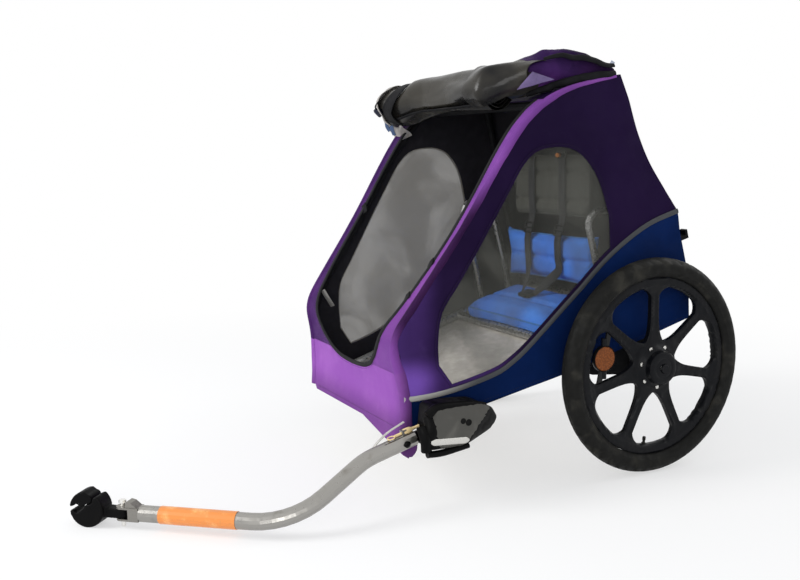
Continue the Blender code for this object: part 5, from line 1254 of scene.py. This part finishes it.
def flap_edges(pts, y0, y1, black):
    """Black edging along the fold's crest, and a black strip along its foot that is painted shadow."""
    lanes = {"crest": [], "painted_shadow": []}
    for i in range(11):
        t = i / 10
        y = y0 + 0.012 + (y1 - y0 - 0.020) * t
        near = [p for p in pts if abs(p.y - y) < 0.024]
        low, top = min(p.z for p in near), max(p.z for p in near)
        for lane, up in (("crest", 0.88 - 0.28 * t), ("painted_shadow", 0.10)):
            z = low + up * (top - low)
            face_x = max([p.x for p in near if abs(p.z - z) < 0.016] or [max(p.x for p in near)])
            lanes[lane].append(Vector((face_x + 0.0005, y, z)))
    # The crest is black binding; the strip along the foot is painted shadow under the fold
    for name, wide, thick, up, first in (("crest", 0.015, 0.008, (0.9, -0.2, 0.7), 3),
                                         ("painted_shadow", 0.020, 0.012, (1, -0.2, 0.1), 1)):
        line = smooth_line(lanes[name][first:], 0.006)
        n = len(line)
        scales = [0.35 + 0.65 * sin(pi * (0.06 + 0.80 * i / n)) for i in range(n)]
        line = [p + Vector((0, 0, 0.0016 * noise.noise(p * 40))) for p in line]
        bm = sweep_mesh(line, oval(wide, thick, 16), Vector(up), scales=scales)
        piece("flap_" + name, bm, black, slot="webbing")


def cover_tail(vinyl):
    """Smoky vinyl that runs on from the roll and is tucked under the fold."""
    rings = []
    for i in range(15):
        t = i / 14
        row = []
        for k in range(27):
            angle = radians(-30 + 250 * k / 26)
            start = roll_point(0.128 + 0.054 * min(1.0, t / 0.45), angle, -0.0016)
            size = 0.033 + 0.003 * sin(3 * angle)
            goal = Vector((0.252, -0.058 + size * cos(angle), 0.700 + 0.95 * size * sin(angle)))
            p = start.lerp(goal, smoothstep((t - 0.40) / 0.60))
            fold = 0.0036 * sin(3 * angle + 6 * t) * sin(pi * t)
            row.append(p + (p - Vector((p.x, -0.11, 0.69))).normalized() * fold)
        heart = -0.125 + 0.085 * smoothstep(t), 0.694
        rings.append(row + [p + (Vector((p.x, *heart)) - p).normalized() * 0.0012 for p in row][::-1])
    bridge = piece("cover_tail", loft(rings), vinyl, slot="grey_film", crease=60)


def flap_gusset(pale, steps=12):
    """Pale triangle of vinyl drawn from the roll to the fold."""
    a, b, c = vectors((0.256, -0.078, 0.710), (0.275, -0.040, 0.682), (0.254, -0.126, 0.682))
    out = Vector((0.3, -0.8, 0.5)).normalized()
    bm = bmesh.new()
    bm.loops.layers.uv.new("UVMap")
    rows = []
    for i in range(steps + 1):
        u, row = i / steps, []
        for k in range(i + 1):
            w = k / i if i else 0
            p = a.lerp(b.lerp(c, w), u)
            row.append(p + out * (0.010 * sin(pi * u) * sin(pi * w) + 0.002 * noise.noise(p * 50)))
        rows.append(row)
    top = [[bm.verts.new(p) for p in row] for row in rows]
    low = [[bm.verts.new(p + Vector((-0.0004, 0.0010, -0.0006))) for p in row] for row in rows]
    for i in range(steps):
        for k in range(i + 1):
            for side in (top, low):
                bm.faces.new((side[i][k], side[i + 1][k], side[i + 1][k + 1]))
                if k < i:
                    bm.faces.new((side[i][k], side[i + 1][k + 1], side[i][k + 1]))
    rim = ([(i, 0) for i in range(steps)] + [(steps, k) for k in range(steps)]
           + [(i, i) for i in range(steps, 0, -1)])
    for (i, k), (m, q) in zip(rim, rim[1:] + rim[:1]):
        bm.faces.new((top[i][k], top[m][q], low[m][q], low[i][k]))
    gusset = piece("flap_gusset", bm, pale, slot="grey_film")
    side, high = (b - c).length, (a - (b + c) / 2).length


def folded_flap(cloth, black, vinyl, pale, tag):
    """The fold behind the roll with its edgings, tail, gusset and tag."""
    y0, y1 = flap_fold(cloth, vinyl)
    source = bpy.data.objects["folded_flap"]
    pts = [LEVEL.inverted() @ (source.matrix_world @ v.co) for v in source.data.vertices]
    flap_edges(pts, y0, y1, black)
    cover_tail(vinyl)
    flap_gusset(pale)
    tail = max(pts, key=lambda p: p.y)
    line = [tail + p for p in vectors((0, -0.004, 0.004), (0.004, 0.006, 0.010), (0.006, 0.014, 0.019))]
    piece("flap_tag", sweep_mesh(line, tape(0.011, 0.0014), Vector((1, 0, 0))), tag, slot="blue_cloth")


# Wheels

TRACK, SPOKES = 0.364, 7
TYRE_MIDDLE, TYRE_ROUND, TYRE_FOOT = 0.2265, 0.0233, 0.2062
RIM_EDGE, GAP_END, AXLE_BORE, BOLT_RING = 0.2055, 0.184, 0.0115, 0.0470
REFLECTOR_PLACE, REFLECTOR_TURN = 0.144, pi / 2 + 1.5 * 2 * pi / SPOKES


def wheel_frame(sign):
    """Puts (out, radius, angle) of a wheel in space; out is away from the trailer's middle."""
    def put(out, r, a):
        return Vector((sign * (TRACK + out), AXLE_Y + r * cos(a), WHEEL_R + r * sin(a)))
    return put


def wheel_piece(prefix, name, bm, mat, slot, **more):
    """A piece that turns with its wheel, built where the wheel stands."""
    piece(prefix + name, bm, mat, body=prefix + "_wheel", level=False, slot=slot, **more)


def tread(i, t):
    """Depth of the tyre's skin below its round, at step i round the wheel and angle t across it."""
    across = abs(math.degrees(math.atan2(sin(t), cos(t))))
    if 62 < across < 70:
        return -0.0005
    if 112 < across < 122:
        return -0.0009
    if across >= 58:
        return 0.0
    if t == 0:
        return 0.0013
    lane = round(across / 9.5)
    if lane > 0 and (i + lane * (1 if sin(t) >= 0 else 2)) % 8 == 0:
        return 0.0016
    return 0.0007 if lane in (2, 5) and (i // 4) % 2 == 0 else 0.0


def tyre(prefix, sign, rubber, around=432, section=38):
    """Tyre with its tread, flank line and bead line."""
    put = wheel_frame(sign)
    rings = []
    for i, a in enumerate(turns(around)):
        rings.append([])
        for t in turns(section):
            r = TYRE_ROUND - tread(i, t)
            rings[-1].append(put(r * sin(t), max(TYRE_MIDDLE + r * cos(t), TYRE_FOOT), a))
    bm = loft(rings + rings[:1], ends=False)
    bmesh.ops.remove_doubles(bm, verts=bm.verts, dist=1e-6)
    wheel_piece(prefix, "_tyre_tread", bm, rubber, "tyre_rubber", nodes=[prefix + "_tyre"], crease=35)


def spoke_gap(k):
    """Outline of one gap between spokes: narrow at the hub, with full round corners at the rim."""
    middle = pi / 2 + (k + 0.5) * 2 * pi / SPOKES
    edge = []
    for r in (0.0630 + 0.0995 * i / 16 for i in range(17)):
        spoke = 0.0104 + 0.022 * math.exp(-(r - 0.055) / 0.015)
        edge.append((r, max(0.0012, r * sin(pi / SPOKES) - spoke)))
    side = edge[-1][1]
    for t in (pi / 2 * i / 7 for i in range(1, 8)):
        edge.append((0.1625 + 0.0215 * sin(t), side - 0.0215 * (1 - cos(t))))
    whole = [(r, math.asin(h / r)) for r, h in edge]
    arc = [(GAP_END, whole[-1][1] * (1 - 2 * i / 10)) for i in range(1, 10)]
    whole += arc + [(r, -a) for r, a in reversed(whole)]
    return [Vector((r * cos(middle + a), r * sin(middle + a))) for r, a in whole]


def disc_height(r, d):
    """Half the disc's thickness at radius r and at distance d from its nearest edge."""
    sunk = smoothstep((d - 0.0035) / 0.003) * smoothstep((r - 0.066) / 0.02) * smoothstep((0.180 - r) / 0.01)
    high = 0.0085 - 0.0030 * sunk - 0.0028 * (1 - smoothstep(d / 0.0035))
    high += 0.0040 * smoothstep((r - 0.1845) / 0.004)
    high -= 0.0012 * smoothstep((r - 0.189) / 0.002) * smoothstep((0.201 - r) / 0.002)
    return high + 0.0150 * (1 - smoothstep((r - 0.036) / 0.020)) + 0.001 * (r < 0.03)


def wheel_disc(prefix, sign, mat):
    """Moulded disc with seven spokes, sunk between ribs, and its stepped rim."""
    loops = [circle(RIM_EDGE, 168)] + [spoke_gap(k) for k in range(SPOKES)] + [circle(AXLE_BORE, 28)]
    flat, tris, gap, _ = fill_loops(loops, 0.0055, 0.0045)
    outer, inner = [], []
    for p, d in zip(flat, gap):
        high = disc_height(p.length, d)
        for rows, x in ((outer, TRACK + high), (inner, TRACK - high)):
            rows.append(Vector((sign * x, AXLE_Y + p.x, WHEEL_R + p.y)))
    wheel_piece(prefix, "_wheel_moulding", two_faces(flat, tris, outer, inner), mat, "wheel_plastic",
                nodes=[prefix + "_wheel"], crease=42)


def hub_cap(prefix, sign, mat):
    """Cap on the hub's outer face and the flange on its inner one."""
    centre, out = wheel_frame(sign)(0, 0, 0), Vector((sign, 0, 0))
    bm = lathe(((-0.0250, 0.0115), (-0.0250, 0.0330), (-0.0235, 0.0350), (-0.0100, 0.0380)), centre, out, 48)
    lathe(((0.0080, 0.0390), (0.0200, 0.0393), (0.0360, 0.0380), (0.0385, 0.0362), (0.0398, 0.0330),
           (0.0402, 0.0240), (0.0396, 0.0225), (0.0400, 0.0200), (0.0405, 0.0150), (0.0405, 0.0112)),
          centre, out, 56, bm=bm)
    wheel_piece(prefix, "_hub_cap", bm, mat, "wheel_plastic", crease=30)


def hub_bolts(prefix, sign, steel):
    """Bolt heads round the hub cap, one in line with each gap."""
    bm = bmesh.new()
    for k in range(SPOKES):
        place = wheel_frame(sign)(0, BOLT_RING, pi / 2 + (k + 0.5) * 2 * pi / SPOKES)
        lathe(((0.0160, 0.0), (0.0160, 0.0046), (0.0180, 0.0046), (0.0188, 0.0036), (0.0192, 0.0)),
              place, Vector((sign, 0, 0)), 12, bm=bm)
    wheel_piece(prefix, "_hub_bolts", bm, steel, "bright_steel")


def valve(prefix, sign, rubber):
    """Valve stem and its cap, pointing from the rim to the hub."""
    foot = wheel_frame(sign)(0, 0.1845, -pi / 2 - 0.12)
    inward = (wheel_frame(sign)(0, 0, 0) - foot).normalized()
    bm = lathe(((-0.001, 0.0055), (0.003, 0.0052), (0.004, 0.0032), (0.011, 0.0030), (0.011, 0.0)),
               foot, inward, 14)
    lathe(((0.009, 0.0), (0.009, 0.0038), (0.015, 0.0040), (0.0175, 0.0030), (0.018, 0.0)),
          foot, inward, 14, bm=bm)
    wheel_piece(prefix, "_valve", bm, rubber, "tyre_rubber")


def reflector_clip(prefix, sign, black):
    """Ring round the reflector and the two feet that hold it to its spokes."""
    middle, out = wheel_frame(sign)(0, REFLECTOR_PLACE, REFLECTOR_TURN), Vector((sign, 0, 0))
    bm = bmesh.new()
    for side in (1, -1):
        bar = [middle + UP * side * 0.029, middle + UP * side * 0.046]
        sweep_mesh(bar, oval(0.013, 0.0112, 10), out, bm=bm)
    ring = [middle + Vector((0, *p)) for p in circle(0.0285, 48)]
    sweep_mesh(ring, oval(0.0034, 0.0118, 8), out, closed=True, bm=bm)
    wheel_piece(prefix, "_reflector_clip", bm, black, "wheel_plastic")


def amber_lens(prefix, sign):
    """Amber prisms with a dark rim round the lens."""
    centre = wheel_frame(sign)(0, REFLECTOR_PLACE, REFLECTOR_TURN)
    s = Shader(prefix + "_amber_lens", (0.20, 0.055, 0.012), 0.30, specular_ior_level=0.15)
    away = s.node("VectorMath", {0: s.place, 1: tuple(centre)}, operation="SUBTRACT").outputs[0]
    flat = s.node("VectorMath", {0: away, 1: (0, 1, 1)}, operation="MULTIPLY").outputs[0]
    far = s.node("VectorMath", {0: flat}, operation="LENGTH").outputs["Value"]
    cells = s.node("TexVoronoi", {"Vector": s.place, "Scale": 330.0}, feature="F1").outputs["Distance"]
    glow = s.mix(s.ramp(cells, 0.0, 0.7), (0.30, 0.085, 0.018), (0.14, 0.040, 0.010))
    s.colour(s.mix(s.ramp(far, 0.0272, 0.0278), glow, (0.012, 0.012, 0.012)))
    return s.bump(cells, 0.0008, 0.6).mat


# Tow bar receiver, lock pin and small fittings

RECEIVER = ((-0.590, 0.040), (-0.500, 0.014), (-0.428, 0.013), (-0.403, 0.030), (-0.421, 0.068),
            (-0.446, 0.090), (-0.503, 0.110), (-0.556, 0.124))
RIDGE_TOP, RIDGE_FOOT = Vector((-0.432, 0.076)), Vector((-0.4954, 0.0309))
TOP_WELT = ((0.350, -0.574, 0.112), (0.350, -0.548, 0.118), (0.350, -0.503, 0.106), (0.350, -0.455, 0.089),
            (0.350, -0.436, 0.080))
WELTS = ((((0.348, -0.581, 0.048), (0.353, -0.574, 0.077), (0.344, -0.567, 0.106)), (0.028, 0.020, 16)),
         (((0.348, -0.594, 0.040), (0.353, -0.5915, 0.066), (0.344, -0.589, 0.092)), (0.024, 0.020, 16)),
         (((0.350, -0.596, 0.032), (0.352, -0.560, 0.022), (0.350, -0.500, 0.013)), (0.014, 0.018, 14)))


def blunted(corners, size):
    """The outline with its corners rounded over that length."""
    pts = [Vector(p) for p in corners]
    loop = []
    for a, b, c in zip(pts[-1:] + pts[:-1], pts, pts[1:] + pts[:1]):
        start, end = b + (a - b).normalized() * size, b + (c - b).normalized() * size
        loop += [start.lerp(b, t).lerp(b.lerp(end, t), t) for t in (0, 0.2, 0.4, 0.6, 0.8, 1)]
    return loop


def receiver_body(lit_grey_with_dust, black):
    """Moulding with a grey outer face, painted light with dust patches, that turns away, black, behind its
    ridge.
    """
    flat, tris, gap, _ = fill_loops([blunted(RECEIVER, 0.011)], 0.006, 0.005)
    along = (RIDGE_FOOT - RIDGE_TOP).normalized()
    rear = Vector((-along.y, along.x))
    top, bottom = [], []
    for p, d in zip(flat, gap):
        edge = max(0.0, 1 - d / 0.007)
        back = max(0.0, (p - RIDGE_TOP).dot(rear))
        x = 0.3598 - 0.0062 * edge ** 2 - 0.50 * back + 0.0012 * smoothstep(d / 0.02)
        top.append(Vector((x, *p)))
        bottom.append(Vector((0.2882 + 0.004 * edge ** 2, *p)))
    bm = two_faces(flat, tris, top, bottom)
    for face in bm.faces:
        face.normal_update()
        mid = face.calc_center_median()
        back = (mid.yz - RIDGE_TOP).dot(rear)
        # Faces turned outward take the grey of painted light; faces turned away, those behind the ridge and
        # those at the front stay black
        face.material_index = int(mid.y < -0.566 or back > 0.002 or face.normal.x < 0.35)
    piece("receiver_body", bm, [lit_grey_with_dust, black], nodes=["tow_bar_receiver"], slot="bracket_plastic", crease=30)


def receiver_welt(black):
    """Welts round the moulding, the tongue that carries the bar's bolt, and the flange up to the rail."""
    bm = bmesh.new()
    line = smooth_line(TOP_WELT, 0.006)
    n = len(line)
    sweep_mesh(line, oval(0.020, 0.020, 16), OUT, bm=bm, scales=[1 - 0.55 * (i / n) ** 2 for i in range(n)])
    for line, size in WELTS:
        sweep_mesh(smooth_line(line, 0.006), oval(*size), OUT, bm=bm)
    tongue = [(-0.0078, -0.0095), (0.0078, -0.0095), (0.0078, 0.0095), (-0.0078, 0.0095)]
    flange = [(-0.020, -0.009), (0.055, -0.009), (0.055, 0.0095), (-0.020, 0.0095)]
    sweep_mesh([(0.302, -0.6285, 0.058), (0.302, -0.560, 0.058)], tongue, UP, bm=bm)
    sweep_mesh([(0.262, -0.500, 0.0395), (0.296, -0.500, 0.0395)], flange, UP, bm=bm)
    piece("receiver_welt", bm, black, slot="bracket_plastic")


def receiver_fittings(steel, hole_shade, pale):
    """Steel strip with rounded ends, two dark discs that paint the shade inside two holes, and the end of a
    pale strap.
    """
    a, b = vectors((0.3602, -0.5845, 0.0575), (0.3602, -0.4985, 0.0270))
    ends = [max(0.0, 1 - min(i, 18 - i) / 2.2) for i in range(19)]
    scales = [math.sqrt(max(0.12, 1 - end ** 2)) for end in ends]
    bm = sweep_mesh([a.lerp(b, i / 18) for i in range(19)], oval(0.0145, 0.0050, 16), OUT, scales=scales)
    piece("receiver_strip", bm, steel, nodes=["receiver_plate"], slot="bright_steel")
    bm = bmesh.new()
    # Two near-black discs: painted shade standing for the inside of two holes
    for y, z, r in ((-0.5015, 0.0720, 0.0062), (-0.4900, 0.0640, 0.0072)):
        lathe(((-0.001, r), (0.0009, r), (0.0012, r * 0.8), (0.0005, r * 0.55), (0.0005, 0.0)),
              (0.3608, y, z), OUT, 20, bm=bm)
    piece("receiver_holes", bm, hole_shade, slot="bracket_plastic")
    strap = smooth_line(((0.284, -0.600, 0.092), (0.280, -0.640, 0.083), (0.283, -0.672, 0.072),
                         (0.288, -0.690, 0.060)), 0.005)
    piece("receiver_strap_end", sweep_mesh(strap, tape(0.013, 0.0020), Vector((-0.3, -0.3, 1))), pale,
          slot="webbing")


def lock_pin_head(cream):
    """Fat head over the lock pin's inner end, and its grip."""
    a, b = [LEVEL @ p for p in vectors((0.302, -0.618, 0.0785), (0.302, -0.586, 0.0785))]
    bm = lathe(((0.0, 0.0), (0.001, 0.0050), (0.004, 0.0066), (0.012, 0.0070), (0.020, 0.0060),
                (0.024, 0.0034), (0.030, 0.0032), (0.031, 0.0)), a, b - a, 18)
    piece("lock_pin_head", bm, cream, body="lock_pin", level=False, slot="pin_plastic")


def edge_tabs(black, pale):
    """Small tabs of the cover's fastening along both front edges, and a pale one inside."""
    tabs = bmesh.new()
    for high, sign in ((0.33, 1), (0.385, 1), (0.46, -1)):
        s = FRONT.where(lambda p: p.y - high)
        c = Vector((sign * (opening_half(s) + 0.004), *FRONT.point(s, -0.0035)))
        way = Vector((-sign * 0.7, -0.25, -0.5)).normalized()
        path = [c, c + way * 0.012, c + way * 0.022 + Vector((0, -0.002, -0.006))]
        sweep_mesh(path, tape(0.016, 0.0024), Vector((0, -0.7, 0.7)), bm=tabs)
    piece("edge_tabs", tabs, black, slot="webbing")
    s = FRONT.where(lambda p: p.y - 0.30)
    c = Vector((0.006 - opening_half(s), *FRONT.point(s, 0.004)))
    line = [c + p for p in vectors((0, 0, 0), (0.006, 0.004, -0.022), (0.010, 0.010, -0.046))]
    piece("inner_tab", sweep_mesh(line, tape(0.016, 0.0016), Vector((0.3, -1, 0.2))), pale, slot="webbing")


def dress(mat, *nodes):
    """Gives CAD nodes that stay their finished material."""
    for node in nodes:
        for slot in bpy.data.objects[node].material_slots:
            slot.material = mat


# Each part of the trailer with its materials

def fabric(thread):
    """The fabric body with its windows, folds and piping."""
    lining = simple("black_lining", (0.012, 0.011, 0.014), 0.85, specular=0.2)
    # Side cloth: the purple darkened as painted shade; painted light lifts it towards the front corner and
    # low down
    purple = nylon("side_nylon_painted_light_shade", SHADED_SIDE_PURPLE, SHADED_SIDE_DEEP,
                   shades=((1, ((-0.130, 7.0), (-0.060, 3.8), (0.010, 1.0))),
                           (2, ((0.252, 4.6), (0.318, 1.0)))))
    navy = nylon("lower_nylon", NAVY, NAVY_DEEP, rough=0.5)
    # Nose: painted shade darkens it low down and towards both of its side corners
    nose = nylon("nose_nylon_painted_shade", FADED, PURPLE, rough=0.6,
                 shades=((2, ((0.140, 0.58), (0.215, 1.0))),
                         (0, ((-0.300, 0.42), (-0.235, 1.0), (0.200, 1.0), (0.275, 0.56)))))
    # Near band: painted shade dims it a little between its lower and upper heights
    near_band = nylon("near_band_nylon_painted_shade", BAND, BAND_DEEP, rough=0.45,
                      shades=((2, ((0.300, 1.0), (0.380, 0.80), (0.500, 0.85), (0.620, 1.0))),))
    # Near corner fold: the band's cloth, darkened strongly at mid height as painted shade
    near_fold_shaded = nylon("near_fold_nylon_painted_shade", BAND, BAND_DEEP, rough=0.45,
                      shades=((2, ((0.320, 1.0), (0.400, 0.16), (0.600, 0.16), (0.700, 1.0))),))
    # Far band: a darker copy of the band's cloth, as painted shade
    far_band_painted_shade = nylon("far_band_nylon_painted_shade", (0.090, 0.028, 0.155), (0.050, 0.016, 0.095), rough=0.45)
    # The far window's film is a paler, more opaque copy of the window film; its paleness is painted light
    # from behind it
    films = (film("window_vinyl", (0.100, 0.100, 0.088), 0.14, 0.40, gloss=0.12),
             film("far_window_vinyl_painted_light", (0.255, 0.24, 0.21), 0.60, 0.76, gloss=0.12))
    for (prefix, sign), clear in zip(SIDES, films):
        side_cloth(prefix, sign, purple, navy, lining, clear)
        side_seams(prefix, sign, purple, thread)
    binding = simple("opening_tape", (0.012, 0.012, 0.013), 0.65)
    front_cloth(nose, (near_band, far_band_painted_shade), lining, binding, thread)
    corner_folds(nose, (near_fold_shaded, far_band_painted_shade))
    across_panels(purple, navy, lining)
    piping_tape()


def cover_and_flap(black):
    """The rolled cover with its fastenings and the fold behind it."""
    vinyl = smoky_vinyl()
    pale = film("pale_vinyl", (0.34, 0.32, 0.30), 0.90, 1.0, rough=0.35, scale=30.0, gloss=0.2)
    cover_roll(vinyl, black)
    cover_strap(black)
    cover_end(pale)
    cover_toggle(black, plastic("toggle_plastic", (0.012, 0.014, 0.030), 0.4, amount=0.1),
                 simple("blue_tag", (0.055, 0.085, 0.16), 0.6))
    cover_corner(pale)
    # Flap cloth: painted light lifts its front, painted shade darkens it towards the rear
    lobes = nylon("flap_nylon_painted_light_shade", (0.080, 0.024, 0.140), (0.020, 0.008, 0.044), rough=0.45,
                  shades=((1, ((0.280, 1.25), (0.410, 0.25))),))
    gusset = film("purple_vinyl", (0.145, 0.105, 0.23), 0.90, 1.0, rough=0.3, scale=40.0, gloss=0.2)
    folded_flap(lobes, black, vinyl, gusset, simple("pale_tag", (0.48, 0.52, 0.62), 0.6))


def wheels():
    """Both wheels with everything that turns on them, and their pins and bearings."""
    rubber = plastic("tyre_rubber", (0.0070, 0.0070, 0.0064), 0.60, dust=(0.050, 0.047, 0.038), amount=0.55,
                     grain=500.0, gloss=0.12)
    moulded = plastic("wheel_plastic", (0.0042, 0.0046, 0.0060), 0.40, dust=(0.014, 0.013, 0.012), amount=0.4,
                      gloss=0.12)
    steel = metal("bolt_steel", (0.62, 0.61, 0.58), 0.28)
    for prefix, sign in SIDES:
        tyre(prefix, sign, rubber)
        wheel_disc(prefix, sign, moulded)
        hub_cap(prefix, sign, moulded)
        hub_bolts(prefix, sign, steel)
        valve(prefix, sign, rubber)
        reflector_clip(prefix, sign, moulded)
        dress(moulded, prefix + "_release_button")
        dress(amber_lens(prefix, sign), prefix + "_reflector")
        dress(steel, prefix + "_axle_pin", prefix + "_hub_bearing")


def hitch(jet):
    """The receiver and its pins."""
    # Grey with dust patches: painted light on the outward faces of the black receiver moulding
    lit_face_plastic = plastic("bracket_plastic", (0.075, 0.073, 0.066), 0.5, dust=(0.15, 0.145, 0.13), amount=0.6)
    receiver_body(lit_face_plastic, jet)
    receiver_welt(jet)
    receiver_fittings(metal("strip_steel", (0.62, 0.61, 0.58), 0.34),
                      # Near-black: painted shade for the inside of the receiver's two holes
                      simple("painted_hole_shade", (0.004, 0.004, 0.004), 0.6),
                      simple("strap_end", (0.46, 0.45, 0.42), 0.7))
    cream = plastic("pin_cream", (0.80, 0.62, 0.32), 0.45, dust=(0.45, 0.28, 0.12), amount=0.5)
    lock_pin_head(cream)
    dress(cream, "lock_pin")
    dress(metal("pin_steel", (0.80, 0.79, 0.76), 0.25), "hitch_pin")


def tow_bar(jet):
    """The bar's finishes and the moulded coupler at its end."""
    dress(metal("fork_alloy", (0.26, 0.25, 0.23), 0.42, dirt=(0.05, 0.045, 0.04)), "tow_bar_fork")
    dress(metal("bar_alloy", (0.34, 0.33, 0.31), 0.34, scratch=0.2, dirt=(0.17, 0.155, 0.13)), "tow_bar")
    dress(band_sheeting(), "reflective_band")
    rounded("coupler_body", "coupler", jet)
    rounded("coupler_jaw", "coupler_jaw", jet)


def frame_parts(jet):
    """Materials of the frame's tubes and of the small solids that stay as they are."""
    dress(jet, "receiver_bolt", "rear_hook", "harness_buckle", "clamp_knob")
    dress(simple("tube_sleeve", (0.008, 0.008, 0.009), 0.7),
          "front_hoop", "rear_hoop", "left_axle_bracket", "right_axle_bracket", "axle_tube")
    dress(metal("frame_alloy", (0.50, 0.50, 0.49), 0.34), "front_cross_tube", "rear_cross_tube", "seat_bar",
          "left_side_rail", "right_side_rail", "left_arm_hoop", "right_arm_hoop")


def inside(black, thread):
    """Floor, seat and harness."""
    floor_cloth(simple("floor_fabric", (0.60, 0.56, 0.50), 0.8))
    blue = nylon("seat_nylon", (0.085, 0.30, 0.92), (0.060, 0.20, 0.70), wear=0.1)
    grey = nylon("back_nylon", (0.11, 0.11, 0.095), (0.07, 0.07, 0.06), wear=0.2)
    seat((blue, simple("seat_cord", (0.05, 0.17, 0.42), 0.6)),
         (grey, simple("back_cord", (0.05, 0.05, 0.045), 0.6)))
    harness(webbing("harness_web", (0.030, 0.030, 0.033)), black,
            simple("amber", (0.5, 0.16, 0.02), 0.3), thread)


def main():
    make_camera()
    make_stage()
    black = simple("black_tape", (0.007, 0.007, 0.008), 0.7)
    thread = simple("dark_thread", (0.028, 0.024, 0.034), 0.7)
    jet = plastic("jet_plastic", (0.0016, 0.0016, 0.0018), 0.48, dust=(0.010, 0.009, 0.008), amount=0.35,
                  gloss=0.08)
    fabric(thread)
    cover_and_flap(black)
    wheels()
    hitch(jet)
    edge_tabs(black, simple("grey_tab", (0.20, 0.195, 0.185), 0.7))
    tow_bar(jet)
    frame_parts(jet)
    inside(black, thread)


main()
